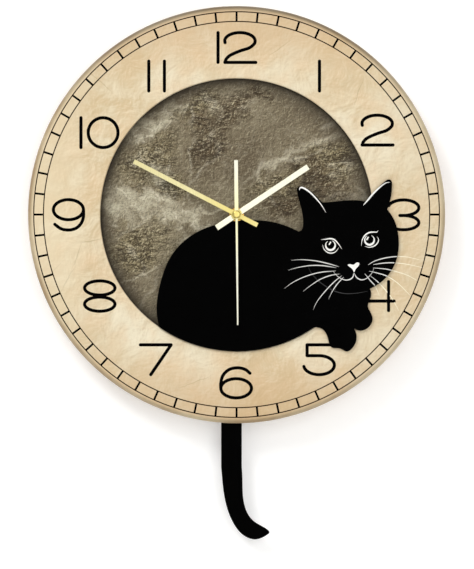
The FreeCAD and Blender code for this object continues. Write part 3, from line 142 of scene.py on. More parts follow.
def remap(tree, value, low, high, to_low=0.0, to_high=1.0):
    """Stretches a value from one range to another, held at its ends."""
    sockets = {"Value": value, "From Min": low, "From Max": high, "To Min": to_low, "To Max": to_high}
    return add(tree, "ShaderNodeMapRange", sockets).outputs["Result"]


def ramp(tree, value, stops):
    """Colours along a value; each stop is (place, colour)."""
    node = add(tree, "ShaderNodeValToRGB", {"Fac": value})
    elements = node.color_ramp.elements
    elements[0].position, elements[0].color = stops[0]
    elements[1].position, elements[1].color = stops[-1]
    for place, colour in stops[1:-1]:
        elements.new(place).color = colour
    return node.outputs["Color"]


def maths(tree, operation, first, second=0.0):
    """One sum on values."""
    return add(tree, "ShaderNodeMath", {0: first, 1: second}, operation=operation).outputs[0]


def new_material(name):
    """An empty material with its node tree and its Principled shader."""
    material = bpy.data.materials.new(name)
    material.use_nodes = True
    tree = material.node_tree
    return material, tree, tree.nodes["Principled BSDF"]


def place_in(tree):
    """The point on the piece, in metres."""
    return add(tree, "ShaderNodeTexCoord").outputs["Object"]


# %% [markdown]
# ## Shared effects
# Five effects are used again and again, so each is a node group that is built once: a fade from the
# hands' axis outwards, soft clouds with ridged veins, a fine surface grain, a relief that looks lit from
# the upper left, and a ragged patch that puts an effect in one place.


# %% Node groups
def new_group(name, inputs, outputs):
    """An empty node group with named sockets; returns it with what goes in and what comes out."""
    group = bpy.data.node_groups.new(name, "ShaderNodeTree")
    for socket, kind, value in inputs:
        made = group.interface.new_socket(name=socket, in_out="INPUT", socket_type=kind)
        if value is not None:
            made.default_value = value
    for socket, kind in outputs:
        group.interface.new_socket(name=socket, in_out="OUTPUT", socket_type=kind)
    return group, group.nodes.new("NodeGroupInput").outputs, group.nodes.new("NodeGroupOutput")


def axis_fade_group():
    """0 nearer the hands' axis than Inner, 1 further than Outer."""
    inputs = [("Inner", "NodeSocketFloat", 0.1), ("Outer", "NodeSocketFloat", 0.15)]
    group, given, out = new_group("axis_fade", inputs, [("Fade", "NodeSocketFloat")])
    flat = add(group, "ShaderNodeVectorMath", {0: place_in(group), 1: (1, 0, 1)}, operation="MULTIPLY")
    length = add(group, "ShaderNodeVectorMath", {0: flat.outputs[0]}, operation="LENGTH")
    fade = remap(group, length.outputs["Value"], given["Inner"], given["Outer"])
    group.links.new(fade, out.inputs["Fade"])
    return group


def clouds_group():
    """Soft clouds, and thin ridges where a second cloud crosses its middle."""
    inputs = [("Scale", "NodeSocketFloat", 20.0), ("Seed", "NodeSocketFloat", 0.0)]
    outputs = [("Clouds", "NodeSocketFloat"), ("Ridges", "NodeSocketFloat")]
    group, given, out = new_group("clouds", inputs, outputs)
    point = place_in(group)
    sockets = {"Vector": point, "W": given["Seed"], "Scale": given["Scale"]}
    sockets.update({"Detail": 6.0, "Roughness": 0.55})
    clouds = add(group, "ShaderNodeTexNoise", sockets, noise_dimensions="4D")
    finer = maths(group, "MULTIPLY", given["Scale"], 0.7)
    other_seed = maths(group, "ADD", given["Seed"], 7.0)
    ridge_sockets = {"Vector": point, "W": other_seed, "Scale": finer, "Detail": 3.0, "Distortion": 0.6}
    ridged = add(group, "ShaderNodeTexNoise", ridge_sockets, noise_dimensions="4D")
    off_middle = maths(group, "ABSOLUTE", maths(group, "SUBTRACT", ridged.outputs["Fac"], 0.5))
    ridges = remap(group, off_middle, 0.0, 0.02, 1.0, 0.0)
    group.links.new(clouds.outputs["Fac"], out.inputs["Clouds"])
    group.links.new(ridges, out.inputs["Ridges"])
    return group


def grain_group():
    """A fine even grain as a height and as a slow drift of roughness."""
    inputs = [
        ("Scale", "NodeSocketFloat", 2000.0),
        ("Low", "NodeSocketFloat", 0.4),
        ("High", "NodeSocketFloat", 0.6),
    ]
    outputs = [("Height", "NodeSocketFloat"), ("Roughness", "NodeSocketFloat")]
    group, given, out = new_group("grain", inputs, outputs)
    point = place_in(group)
    fine = add(group, "ShaderNodeTexNoise", {"Vector": point, "Scale": given["Scale"], "Detail": 3.0})
    slow = add(group, "ShaderNodeTexNoise", {"Vector": point, "Scale": 60.0, "Detail": 4.0})
    rough = remap(group, slow.outputs["Fac"], 0.35, 0.65, given["Low"], given["High"])
    group.links.new(fine.outputs["Fac"], out.inputs["Height"])
    group.links.new(rough, out.inputs["Roughness"])
    return group


def relief_group():
    """A rough ground lit from the upper left: one height minus the same height a step away."""
    inputs = [("Scale", "NodeSocketFloat", 200.0), ("Step", "NodeSocketVector", (0.0004, 0.0, -0.0004))]
    group, given, out = new_group("relief", inputs, [("Relief", "NodeSocketFloat")])
    point = place_in(group)
    stepped = add(group, "ShaderNodeVectorMath", {0: point, 1: given["Step"]}, operation="ADD")
    heights = []
    for vector in (point, stepped.outputs[0]):
        sockets = {"Vector": vector, "Scale": given["Scale"], "Detail": 8.0}
        sockets.update({"Roughness": 0.68, "Distortion": 0.5})
        heights.append(add(group, "ShaderNodeTexNoise", sockets).outputs["Fac"])
    group.links.new(maths(group, "SUBTRACT", *heights), out.inputs["Relief"])
    return group


def patch_group():
    """1 in the middle of a ragged ellipse, and 0 outside it."""
    inputs = [
        ("Centre", "NodeSocketVector", (0.0, 0.0, 0.0)),
        ("Half Size", "NodeSocketVector", (0.02, 1.0, 0.02)),
        ("Turn", "NodeSocketVector", (0.0, 0.0, 0.0)),
        ("Raggedness", "NodeSocketFloat", 0.02),
    ]
    group, given, out = new_group("patch", inputs, [("Mask", "NodeSocketFloat")])
    point = place_in(group)
    sockets = {"Vector": point, "Scale": 55.0, "Detail": 5.0, "Roughness": 0.6}
    noise = add(group, "ShaderNodeTexNoise", sockets)
    sockets = {0: noise.outputs["Color"], 1: (0.5, 0.5, 0.5)}
    middled = add(group, "ShaderNodeVectorMath", sockets, operation="SUBTRACT")
    sockets = {0: middled.outputs[0], "Scale": given["Raggedness"]}
    pulled = add(group, "ShaderNodeVectorMath", sockets, operation="SCALE")
    moved = add(group, "ShaderNodeVectorMath", {0: point, 1: pulled.outputs[0]}, operation="ADD")
    sockets = {"Vector": moved.outputs[0], "Location": given["Centre"]}
    sockets.update({"Rotation": given["Turn"], "Scale": given["Half Size"]})
    local = add(group, "ShaderNodeMapping", sockets, vector_type="TEXTURE")
    length = add(group, "ShaderNodeVectorMath", {0: local.outputs[0]}, operation="LENGTH")
    group.links.new(remap(group, length.outputs["Value"], 1.1, 0.15), out.inputs["Mask"])
    return group


GROUPS = {
    "axis_fade": axis_fade_group(),
    "clouds": clouds_group(),
    "grain": grain_group(),
    "relief": relief_group(),
    "patch": patch_group(),
}


def place_group(tree, name, sockets=None):
    """Puts a node group in a material with its own values, and gives its outputs."""
    node = tree.nodes.new("ShaderNodeGroup")
    node.node_tree = GROUPS[name]
    for socket, value in (sockets or {}).items():
        node.inputs[socket].default_value = value
    return node.outputs


def patches(tree, rows, raggedness=0.02):
    """The strongest of several patches, from rows of millimetres and degrees:
    (across, up, half length, half width, turn)."""
    strongest = 0.0
    for across, up, length, width, turn in rows:
        sockets = {
            "Centre": (across * MM, 0.0, up * MM),
            "Half Size": (length * MM, 1.0, width * MM),
            "Turn": (0.0, -math.radians(turn), 0.0),
            "Raggedness": raggedness,
        }
        strongest = maths(tree, "MAXIMUM", place_group(tree, "patch", sockets)["Mask"], strongest)
    return strongest


def bump(tree, shader, height, depth, strength=1.0):
    """Feeds a height to the shader's normal; depth is in metres."""
    node = add(tree, "ShaderNodeBump", {"Height": height, "Distance": depth, "Strength": strength})
    tree.links.new(node.outputs["Normal"], shader.inputs["Normal"])


print("node groups:", ", ".join(GROUPS))

# %% [markdown]
# ## Printed parchment
# The ring is printed like old paper: warm cream with blotches, crumpled all over, with a few long folds,
# browner at the top, the bottom and the rim and paler at the left, under a thin satin varnish. The rim is
# also darkened towards its top with painted shade. Clouds make the blotches, the relief group makes the
# crumple, thin ragged patches make the folds, and the fade group tans the edge. The back of the board is
# bare fibre, chosen by the way a face looks.


# %% Parchment
def back_of_board(tree, print_colour):
    """The print on faces that look forward or sideways, and bare fibreboard on those that look back."""
    normal = add(tree, "ShaderNodeTexCoord").outputs["Normal"]
    backwards = add(tree, "ShaderNodeSeparateXYZ", {"Vector": normal}).outputs["Y"]
    fibres = place_group(tree, "relief", {"Scale": 900.0, "Step": (0.0004, 0.0, 0.0)})["Relief"]
    bare = mix(tree, remap(tree, fibres, -0.15, 0.15), paint(150, 122, 88), paint(190, 162, 124))
    return mix(tree, remap(tree, backwards, 0.3, 0.6), print_colour, bare)


FOLDS = [
    (-104.0, -18.5, 7.5, 0.55, 12.0),
    (-114.5, -29.0, 11.0, 0.5, 66.0),
    (-122.5, -48.0, 13.0, 0.5, 62.0),
    (-131.0, -40.0, 12.0, 0.4, 48.0),
    (32.0, 119.8, 12.0, 0.45, 34.0),
    (-99.0, 96.0, 15.0, 0.45, -40.0),
    (-106.0, 90.0, 12.0, 0.4, 45.0),
    (80.0, -84.0, 15.0, 0.45, 28.0),
    (-30.0, -120.0, 16.0, 0.45, 20.0),
    (88.0, 88.0, 12.0, 0.4, 70.0),
]


def parchment():
    material, tree, shader = new_material("parchment_print")
    broad = place_group(tree, "clouds", {"Scale": 16.0, "Seed": 1.0})
    small = place_group(tree, "clouds", {"Scale": 60.0, "Seed": 4.0})
    paper = ramp(
        tree,
        broad["Clouds"],
        [(0.38, paint(205, 184, 146)), (0.50, paint(216, 200, 168)), (0.62, paint(225, 214, 187))],
    )
    rosy = remap(tree, small["Clouds"], 0.42, 0.68, 0.0, 0.65)
    paper = mix(tree, rosy, paper, paint(220, 193, 155))
    pale = remap(tree, small["Clouds"], 0.46, 0.32, 0.0, 0.5)
    paper = mix(tree, pale, paper, paint(232, 221, 194))
    crumple = place_group(tree, "relief", {"Scale": 60.0, "Step": (0.0009, 0.0, -0.0009)})["Relief"]
    paper = mix(tree, remap(tree, crumple, 0.0, -0.12, 0.0, 0.40), paper, paint(186, 160, 118))
    paper = mix(tree, remap(tree, crumple, 0.0, 0.12, 0.0, 0.36), paper, paint(244, 233, 206))
    fold = patches(tree, FOLDS, 0.006)
    paper = mix(tree, maths(tree, "MULTIPLY", fold, 0.5), paper, paint(158, 138, 98))
    ridge_shown = maths(tree, "MULTIPLY", broad["Ridges"], 0.14)
    paper = mix(tree, ridge_shown, paper, paint(186, 160, 118))
    place = add(tree, "ShaderNodeSeparateXYZ", {"Vector": place_in(tree)}).outputs
    toasted = remap(tree, maths(tree, "ABSOLUTE", place["Z"]), 0.1, 0.15, 0.0, 0.62)
    paper = mix(tree, toasted, paper, paint(196, 156, 110))
    faded = remap(tree, place["X"], -0.105, -0.145, 0.0, 0.6)
    paper = mix(tree, faded, paper, paint(240, 226, 194))
    tanned = place_group(tree, "axis_fade", {"Inner": 0.118, "Outer": 0.1462})["Fade"]
    paper = mix(tree, maths(tree, "MULTIPLY", tanned, 0.35), paper, paint(198, 176, 138))
    rim = place_group(tree, "axis_fade", {"Inner": 0.1460, "Outer": 0.1485})["Fade"]
    worn = remap(tree, broad["Clouds"], 0.4, 0.6)
    rim_colour = mix(tree, worn, paint(158, 136, 104), paint(194, 180, 150))
    # Painted shade: the rim darkens towards the top of the clock.
    rim_top_shade = remap(tree, place["Z"], 0.07, 0.14, 0.0, 0.75)
    rim_colour = mix(tree, rim_top_shade, rim_colour, paint(92, 76, 54))
    paper = mix(tree, rim, paper, rim_colour)
    paper = back_of_board(tree, paper)
    tree.links.new(paper, shader.inputs["Base Color"])
    grain = place_group(tree, "grain", {"Scale": 1800.0, "Low": 0.45, "High": 0.6})
    tree.links.new(grain["Roughness"], shader.inputs["Roughness"])
    shader.inputs["Coat Weight"].default_value = 0.06
    shader.inputs["Coat Roughness"].default_value = 0.35
    shader.inputs["Specular IOR Level"].default_value = 0.25
    bump(tree, shader, maths(tree, "SUBTRACT", grain["Height"], fold), 0.00003, 0.4)
    return material


# %% [markdown]
# ## Printed stone
# The sunken disc is printed like weathered marble: grey-brown, rough as if lit from the upper left, with
# pale bands netted with hair veins, brown craggy places full of dark cracks, and patches of dark speckle.
# The places are given as ragged patches, so the pattern has the big shapes of real stone, and noise
# only fills them. Towards the window's edge the disc is darkened with painted shade, which adds to the
# real shadow of the recess.


# %% Stone
CRAGS = [
    (-9.0, 74.0, 34.0, 14.0, 33.0),
    (-20.0, 46.0, 18.0, 13.0, 60.0),
    (62.0, 24.0, 28.0, 15.0, -28.0),
    (14.0, 88.0, 16.0, 8.0, 20.0),
    (40.0, 8.0, 20.0, 9.0, 15.0),
]
PALE_BANDS = [
    (-60.0, 7.0, 46.0, 9.0, -17.0),
    (-78.0, 12.0, 20.0, 11.0, -20.0),
    (-60.0, 67.0, 26.0, 9.0, 25.0),
    (-32.0, -4.0, 20.0, 7.0, -20.0),
    (-84.0, 4.0, 16.0, 10.0, -20.0),
    (-60.0, 30.0, 22.0, 9.0, -45.0),
]
VEINS = [
    (30.0, 38.0, 34.0, 2.2, 32.0),
    (58.0, 53.0, 22.0, 3.6, 24.0),
    (-32.0, 42.0, 17.0, 1.3, 84.0),
    (-48.0, 0.0, 34.0, 1.3, -24.0),
    (-20.0, 4.0, 26.0, 1.6, 10.0),
    (-70.0, -6.0, 26.0, 1.2, 30.0),
    (-36.0, -14.0, 16.0, 1.1, 50.0),
    (-72.0, -45.0, 24.0, 1.3, 24.0),
]
SPECKLED = [
    (-72.0, -24.0, 34.0, 22.0, 20.0),
    (-66.0, 40.0, 30.0, 16.0, 30.0),
    (-48.0, 20.0, 20.0, 12.0, 0.0),
    (70.0, 40.0, 24.0, 14.0, -30.0),
    (-30.0, 80.0, 20.0, 10.0, 40.0),
    (30.0, 20.0, 26.0, 10.0, 30.0),
]


def stone():
    material, tree, shader = new_material("stone_print")
    point = place_in(tree)
    broad = place_group(tree, "clouds", {"Scale": 22.0, "Seed": 11.0})
    fine = place_group(tree, "clouds", {"Scale": 90.0, "Seed": 15.0})
    rock = ramp(
        tree,
        broad["Clouds"],
        [(0.34, paint(99, 87, 67)), (0.50, paint(119, 108, 86)), (0.66, paint(138, 128, 105))],
    )
    crags = patches(tree, CRAGS, 0.05)
    speckled = patches(tree, SPECKLED, 0.05)
    rock = mix(tree, maths(tree, "MULTIPLY", crags, 0.8), rock, paint(90, 72, 48))
    rock = mix(tree, maths(tree, "MULTIPLY", speckled, 0.5), rock, paint(152, 138, 98))
    pale = maths(tree, "MULTIPLY", patches(tree, PALE_BANDS, 0.05), remap(tree, fine["Clouds"], 0.3, 0.55))
    rock = mix(tree, maths(tree, "MULTIPLY", pale, 0.9), rock, paint(198, 191, 166))
    rock = mix(tree, maths(tree, "MULTIPLY", patches(tree, VEINS, 0.022), 0.7), rock, paint(190, 182, 158))
    hair_veins = maths(tree, "MULTIPLY", broad["Ridges"], remap(tree, fine["Clouds"], 0.4, 0.6, 0.0, 0.5))
    netted = maths(tree, "MULTIPLY", fine["Ridges"], remap(tree, pale, 0.05, 0.3, 0.12, 0.7))
    hair_veins = maths(tree, "MAXIMUM", hair_veins, netted)
    rock = mix(tree, hair_veins, rock, paint(214, 206, 182))
    rough = maths(tree, "MAXIMUM", crags, speckled)
    rough = maths(tree, "ADD", maths(tree, "MULTIPLY", rough, 0.62), 0.38)
    relief = place_group(tree, "relief", {"Scale": 300.0, "Step": (0.0004, 0.0, -0.0004)})["Relief"]
    shade = maths(tree, "MULTIPLY", remap(tree, relief, 0.0, -0.11), rough)
    gleam = maths(tree, "MULTIPLY", remap(tree, relief, 0.01, 0.13, 0.0, 0.85), rough)
    rock = mix(tree, shade, rock, paint(58, 46, 28))
    rock = mix(tree, gleam, rock, paint(216, 206, 172))
    turned = {"Vector": point, "Rotation": (0.0, math.radians(35), 0.0), "Scale": (0.4, 1.0, 1.5)}
    slanted = add(tree, "ShaderNodeMapping", turned).outputs[0]
    crack = 0.0
    for scale, thickness in ((60.0, 0.022), (140.0, 0.045)):
        sockets = {"Vector": slanted, "Scale": scale, "Detail": 4.0, "Roughness": 0.62}
        cracked = add(tree, "ShaderNodeTexNoise", {**sockets, "Distortion": 0.8})
        off_middle = maths(tree, "ABSOLUTE", maths(tree, "SUBTRACT", cracked.outputs["Fac"], 0.5))
        crack = maths(tree, "MAXIMUM", remap(tree, off_middle, 0.0, thickness, 0.95, 0.0), crack)
    crack_places = remap(tree, maths(tree, "MULTIPLY", rough, fine["Clouds"]), 0.19, 0.40)
    crack_shown = maths(tree, "MULTIPLY", crack, crack_places)
    rock = mix(tree, crack_shown, rock, paint(38, 25, 10))
    sockets = {"Vector": point, "Scale": 700.0, "Detail": 2.0, "Roughness": 0.7}
    speckle_noise = add(tree, "ShaderNodeTexNoise", sockets)
    speckle = remap(tree, speckle_noise.outputs["Fac"], 0.52, 0.60)
    speckle_shown = maths(tree, "MULTIPLY", speckle, maths(tree, "MULTIPLY", rough, 0.85))
    rock = mix(tree, speckle_shown, rock, paint(52, 42, 22))
    # Painted shade: the disc darkens towards the window's edge, weaker on the pale bands, on top of the
    # real shadow that the recess casts.
    edge = place_group(tree, "axis_fade", {"Inner": 0.080, "Outer": 0.0978})["Fade"]
    recess_shade_strength = remap(tree, pale, 0.1, 0.6, 0.97, 0.75)
    painted_recess_shade = maths(tree, "MULTIPLY", maths(tree, "POWER", edge, 1.9), recess_shade_strength)
    rock = mix(tree, painted_recess_shade, rock, paint(38, 31, 20))
    rock = back_of_board(tree, rock)
    tree.links.new(rock, shader.inputs["Base Color"])
    shader.inputs["Specular IOR Level"].default_value = 0.2
    grain = place_group(tree, "grain", {"Scale": 1500.0, "Low": 0.5, "High": 0.62})
    tree.links.new(grain["Roughness"], shader.inputs["Roughness"])
    bump(tree, shader, maths(tree, "SUBTRACT", grain["Height"], crack_shown), 0.00003, 0.4)
    return material


# %% [markdown]
# ## Simple finishes
# Plastics, rubber, sheet metal and wire differ in colour, gloss and grain, so one function makes them
# all. Each still has its own grain, and its roughness drifts a little over the surface.


# %% Plain finishes
def plain(name, colour, roughness, grain_scale, grain_depth, metallic=0.0, specular=0.5, variation=0.06):
    """A finish of one colour that drifts a little darker, with its own grain and gloss."""
    material, tree, shader = new_material(name)
    grain = place_group(
        tree, "grain", {"Scale": grain_scale, "Low": roughness - variation, "High": roughness + variation}
    )
    clouds = place_group(tree, "clouds", {"Scale": 90.0, "Seed": 3.0})
    darker = tuple(channel * 0.82 for channel in colour[:3]) + (1.0,)
    drift = remap(tree, clouds["Clouds"], 0.35, 0.65, 0.0, 1.0)
    tree.links.new(mix(tree, drift, colour, darker), shader.inputs["Base Color"])
    tree.links.new(grain["Roughness"], shader.inputs["Roughness"])
    shader.inputs["Metallic"].default_value = metallic
    shader.inputs["Specular IOR Level"].default_value = specular
    bump(tree, shader, grain["Height"], grain_depth, 0.6)
    return material


def brushed(name, colour, hub_colour, angle, roughness):
    """Sheet metal with fine lines along a direction in the XZ plane, in degrees clockwise from +Z."""
    material, tree, shader = new_material(name)
    sockets = {"Vector": place_in(tree), "Scale": (9000.0, 2000.0, 160.0)}
    sockets["Rotation"] = (0.0, -math.radians(angle), 0.0)
    turned = add(tree, "ShaderNodeMapping", sockets)
    lines = add(tree, "ShaderNodeTexNoise", {"Vector": turned.outputs[0], "Scale": 1.0, "Detail": 3.0})
    darker = tuple(channel * 0.72 for channel in colour[:3]) + (1.0,)
    streaks = remap(tree, lines.outputs["Fac"], 0.3, 0.7)
    sheet = mix(tree, streaks, darker, colour)
    outwards = place_group(tree, "axis_fade", {"Inner": 0.004, "Outer": 0.035})["Fade"]
    tree.links.new(mix(tree, outwards, hub_colour, sheet), shader.inputs["Base Color"])
    gloss = remap(tree, lines.outputs["Fac"], 0.3, 0.7, roughness + 0.08, roughness)
    tree.links.new(gloss, shader.inputs["Roughness"])
    shader.inputs["Metallic"].default_value = 1.0
    bump(tree, shader, lines.outputs["Fac"], 0.00001, 0.5)
    return material


def wound_wire(name, direction):
    """Enamelled copper in fine turns across a direction."""
    material, tree, shader = new_material(name)
    wave_sockets = {"Vector": place_in(tree), "Scale": 900.0, "Distortion": 0.4, "Detail": 1.0}
    wave = add(tree, "ShaderNodeTexWave", wave_sockets, bands_direction=direction, wave_profile="SIN")
    colour = mix(tree, wave.outputs["Fac"], paint(108, 46, 20), paint(214, 122, 66))
    tree.links.new(colour, shader.inputs["Base Color"])
    shader.inputs["Metallic"].default_value = 0.85
    shader.inputs["Roughness"].default_value = 0.34
    bump(tree, shader, wave.outputs["Fac"], 0.00012, 0.8)
    return material


def circuit_green():
    """Solder mask with faint tracks under it."""
    material, tree, shader = new_material("board")
    sockets = {"Vector": place_in(tree), "Scale": 260.0}
    tracks = add(tree, "ShaderNodeTexVoronoi", sockets, distance="MANHATTAN", feature="F1")
    line = remap(tree, tracks.outputs["Distance"], 0.32, 0.38)
    colour = mix(tree, line, paint(18, 92, 52), paint(34, 120, 66))
    tree.links.new(colour, shader.inputs["Base Color"])
    shader.inputs["Roughness"].default_value = 0.3
    bump(tree, shader, line, 0.00004, 0.6)
    return material


def cell_sleeve():
    """A plain printed sleeve with a pale band at the positive end, and bare metal at both ends."""
    material, tree, shader = new_material("cell_wrap")
    across = add(tree, "ShaderNodeSeparateXYZ", {"Vector": place_in(tree)}).outputs["X"]
    band = remap(tree, across, 0.0148, 0.0149)
    sleeve = mix(tree, band, paint(26, 52, 104), paint(196, 158, 70))
    plus_end = remap(tree, across, 0.0236, 0.0237)
    minus_end = remap(tree, across, -0.0247, -0.0248)
    ends = maths(tree, "MAXIMUM", plus_end, minus_end)
    tree.links.new(mix(tree, ends, sleeve, paint(196, 196, 198)), shader.inputs["Base Color"])
    tree.links.new(ends, shader.inputs["Metallic"])
    grain = place_group(tree, "grain", {"Scale": 900.0, "Low": 0.2, "High": 0.3})
    tree.links.new(grain["Roughness"], shader.inputs["Roughness"])
    return material


MATERIALS = {
    "parchment_print": parchment(),
    "stone_print": stone(),
    "black_acrylic": plain("black_acrylic", paint(1, 1, 1), 0.45, 1400.0, 0.000004, 0.0, 0.012),
    "foam": plain("foam", paint(52, 52, 56), 0.9, 1300.0, 0.0003),
    "black_rubber": plain("black_rubber", paint(30, 30, 31), 0.75, 1800.0, 0.00008),
    "case_plastic": plain("case_plastic", paint(34, 34, 36), 0.55, 1500.0, 0.00008),
    "white_plastic": plain("white_plastic", paint(226, 226, 220), 0.45, 2200.0, 0.00002),
    "wheel_plastic": plain("wheel_plastic", paint(236, 230, 208), 0.38, 2600.0, 0.00001),
    "knob_plastic": plain("knob_plastic", paint(48, 48, 50), 0.45, 1800.0, 0.00004),
    "zinc_screw": plain("zinc_screw", paint(205, 204, 198), 0.3, 2400.0, 0.00001, 1.0),
    "spring_steel": plain("spring_steel", paint(196, 197, 198), 0.32, 1200.0, 0.00001, 1.0),
    "nickel": plain("nickel", paint(208, 202, 190), 0.22, 1500.0, 0.00001, 1.0),
    "brass": plain("brass", paint(222, 180, 98), 0.28, 1500.0, 0.00001, 1.0),
    "pale_gold": brushed("pale_gold", paint(226, 210, 146), paint(216, 198, 118), 0.0, 0.26),
    "soft_iron": plain("soft_iron", paint(140, 140, 144), 0.42, 1600.0, 0.00002, 1.0),
    "magnet": plain("magnet", paint(74, 74, 78), 0.5, 1600.0, 0.00003, 0.6),
    "copper_wire": wound_wire("copper_wire", "X"),
    "board": circuit_green(),
    "chip_resin": plain("chip_resin", paint(16, 16, 17), 0.25, 700.0, 0.00005),
    "crystal_can": plain("crystal_can", paint(206, 206, 208), 0.2, 1500.0, 0.000005, 1.0),
    "cell_wrap": cell_sleeve(),
}
slot_of = {row["node"]: row["material_slot"] for row in frame["record"]["subparts"]}


def dress(obj, material):
    """Gives an object one material."""
    obj.data.materials.clear()
    obj.data.materials.append(material)


for node_name, node in frame["nodes"].items():
    dress(node, MATERIALS[slot_of[node_name]])
dress(frame["nodes"]["pendulum_winding"], wound_wire("pendulum_wire", "Y"))
print("materials:", len(bpy.data.materials))

# %% [markdown]
# ## Eased edges
# Stamped and cut parts never have perfectly sharp edges: the small round along each edge catches the
# light. A copy of the CAD shape keeps the exact outline. Its loose triangles are merged, its flat faces
# are joined again, and a Bevel modifier rounds what is left.


# %% Eased copies of CAD parts
def deselect_all():
    for item in bpy.context.selected_objects:
        item.select_set(False)


def work_on(piece):
    """Selects one piece alone, so that operators act on it and nothing else."""
    deselect_all()
    piece.select_set(True)
    bpy.context.view_layer.objects.active = piece


def ease_edges(node_name, body, width, material, segments=2):
    """A copy of a CAD part with rounded edges, which stands for it."""
    piece = bpy.data.objects.new(f"{node_name}_eased", frame["nodes"][node_name].data.copy())
    bpy.context.scene.collection.objects.link(piece)
    work_on(piece)
    bpy.ops.object.mode_set(mode="EDIT")
    bpy.ops.mesh.select_all(action="SELECT")
    bpy.ops.mesh.remove_doubles(threshold=1e-6)
    bpy.ops.mesh.dissolve_limited(angle_limit=math.radians(1))
    bpy.ops.object.mode_set(mode="OBJECT")
    rounding = piece.modifiers.new("rounding", "BEVEL")
    rounding.width = width
    rounding.segments = segments
    rounding.limit_method = "ANGLE"
    rounding.angle_limit = math.radians(40)
    bpy.ops.object.modifier_apply(modifier="rounding")
    bpy.ops.object.shade_smooth_by_angle(angle=math.radians(20))
    dress(piece, material)
    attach(piece, body)
    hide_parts(node_name)
    return piece


HANDS = [
    ("hour_hand", "hour_works", 56.3, (238, 236, 214), (238, 235, 208), 0.15),
    ("minute_hand", "minute_works", 297.3, (230, 220, 166), (214, 198, 122), 0.15),
    ("second_hand", "second_works", 179.4, (240, 238, 218), (234, 226, 176), 0.08),
]
for hand, body, angle, colour, hub_colour, bevel_width in HANDS:
    gold = brushed(f"{hand}_gold", paint(*colour), paint(*hub_colour), angle, 0.34)
    ease_edges(hand, body, bevel_width * MM, gold)
ease_edges("cat_cutout", "case", 0.2 * MM, MATERIALS["black_acrylic"])
ease_edges("tail", "pendulum", 0.2 * MM, MATERIALS["black_acrylic"])
ease_edges("hanger_plate", "case", 0.15 * MM, MATERIALS["spring_steel"])

# %% [markdown]
# ## Ink
# The dial's print is a film of ink, so each stroke is a round-ended line of a set width, pressed almost
# flat. A curve with a bevel draws such a line with any bends and tapers, and it becomes a mesh once it
# is drawn. The points run across and up, in millimetres.


# %% Drawing with ink
INK_FLATNESS = 0.04
INK_PROUD = 0.01 * MM
TIP_PROUD = 0.02 * MM


def smooth(points, steps=8):
    """A soft line through a few points."""
    if len(points) == 2:
        return [Vector(p) for p in points]
    padded = [2 * Vector(points[0]) - Vector(points[1])]
    padded += [Vector(p) for p in points]
    padded += [2 * Vector(points[-1]) - Vector(points[-2])]
    line = []
    for a, b, c, d in zip(padded, padded[1:], padded[2:], padded[3:]):
        for i in range(steps):
            t = i / steps
            bend = 2 * a - 5 * b + 4 * c - d
            twist = 3 * b - a - 3 * c + d
            line.append(0.5 * (2 * b + (c - a) * t + bend * t**2 + twist * t**3))
    return line + [padded[-2]]


def arc(centre, across, up, start, end, steps=40):
    """Points on an ellipse, with angles in degrees anticlockwise from the right."""
    angles = [math.radians(start + (end - start) * i / steps) for i in range(steps + 1)]
    return [(centre[0] + across * math.cos(a), centre[1] + up * math.sin(a)) for a in angles]


def rounded(line, width):
    """A line with extra points at both ends that close it in a half circle: (point, share of width)."""
    half = width / 2
    first = (line[0] - line[1]).normalized()
    last = (line[-1] - line[-2]).normalized()
    turns = [math.radians(a) for a in (5, 25, 50, 75)]
    start = [(line[0] + first * half * math.cos(a), math.sin(a)) for a in turns]
    end = [(line[-1] + last * half * math.cos(a), math.sin(a)) for a in turns]
    return start + [(p, 1.0) for p in line] + end[::-1]


def tapered(line, thin=0.15, thick_at=0.3):
    """A line that swells from thin ends to full width."""
    shares = []
    for i in range(len(line)):
        t = i / (len(line) - 1)
        swell = min(t / thick_at, 1.0) if t < thick_at else (1 - t) / (1 - thick_at)
        shares.append(thin + (1 - thin) * math.sin(swell * math.pi / 2))
    return list(zip(line, shares))


def ink(name, strokes, width, level, material, closed=False):
    """One printed piece from strokes; each is a list of (point, share of width)."""
    deselect_all()
    bpy.ops.object.add(type="CURVE")
    curve = bpy.context.object
    curve.name = name
    curve.data.dimensions = "3D"
    curve.data.bevel_depth = width / 2 * MM
    curve.data.bevel_resolution = 2
    curve.data.use_fill_caps = True
    for stroke in strokes:
        spline = curve.data.splines.new("POLY")
        spline.points.add(len(stroke) - 1)
        spline.use_cyclic_u = closed
        for place, (point, share) in zip(spline.points, stroke):
            place.co = (point[0] * MM, 0.0, point[1] * MM, 1.0)
            place.radius = share
    bpy.ops.object.convert(target="MESH")
    curve = bpy.context.object
    curve.scale.y = INK_FLATNESS
    curve.location.y = level - INK_PROUD
    bpy.ops.object.transform_apply(location=True, rotation=True, scale=True)
    bpy.ops.object.shade_smooth_by_angle(angle=math.radians(60))
    curve.name = name
    dress(curve, material)
    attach(curve, "case")
    return curve


def ink_colour(name, red, green, blue):
    """A matt printing ink."""
    return plain(name, paint(red, green, blue), 0.5, 1600.0, 0.000004, 0.0, 0.012)


black_ink = ink_colour("black_ink", 3, 2, 2)
brown_ink = ink_colour("brown_ink", 40, 26, 16)
white_ink = ink_colour("white_ink", 250, 249, 244)
grey_ink = ink_colour("grey_ink", 226, 225, 221)
faint_ink = ink_colour("faint_ink", 62, 62, 62)
cream_ink = ink_colour("cream_ink", 246, 238, 212)

# %% [markdown]
# ## Minute track
# Two thin brown circles with sixty black bars between them.

# %% Minute track
TRACK_INNER = 138.6
TRACK_OUTER = 145.6
TRACK_LINE = 0.8
BAR_WIDTH = 1.5
MINUTES = 60
CIRCLE_POINTS = 240


def on_dial(radius, degrees):
    """A point at a radius, at degrees clockwise from twelve o'clock."""
    turn = math.radians(degrees)
    return Vector((radius * math.sin(turn), radius * math.cos(turn)))


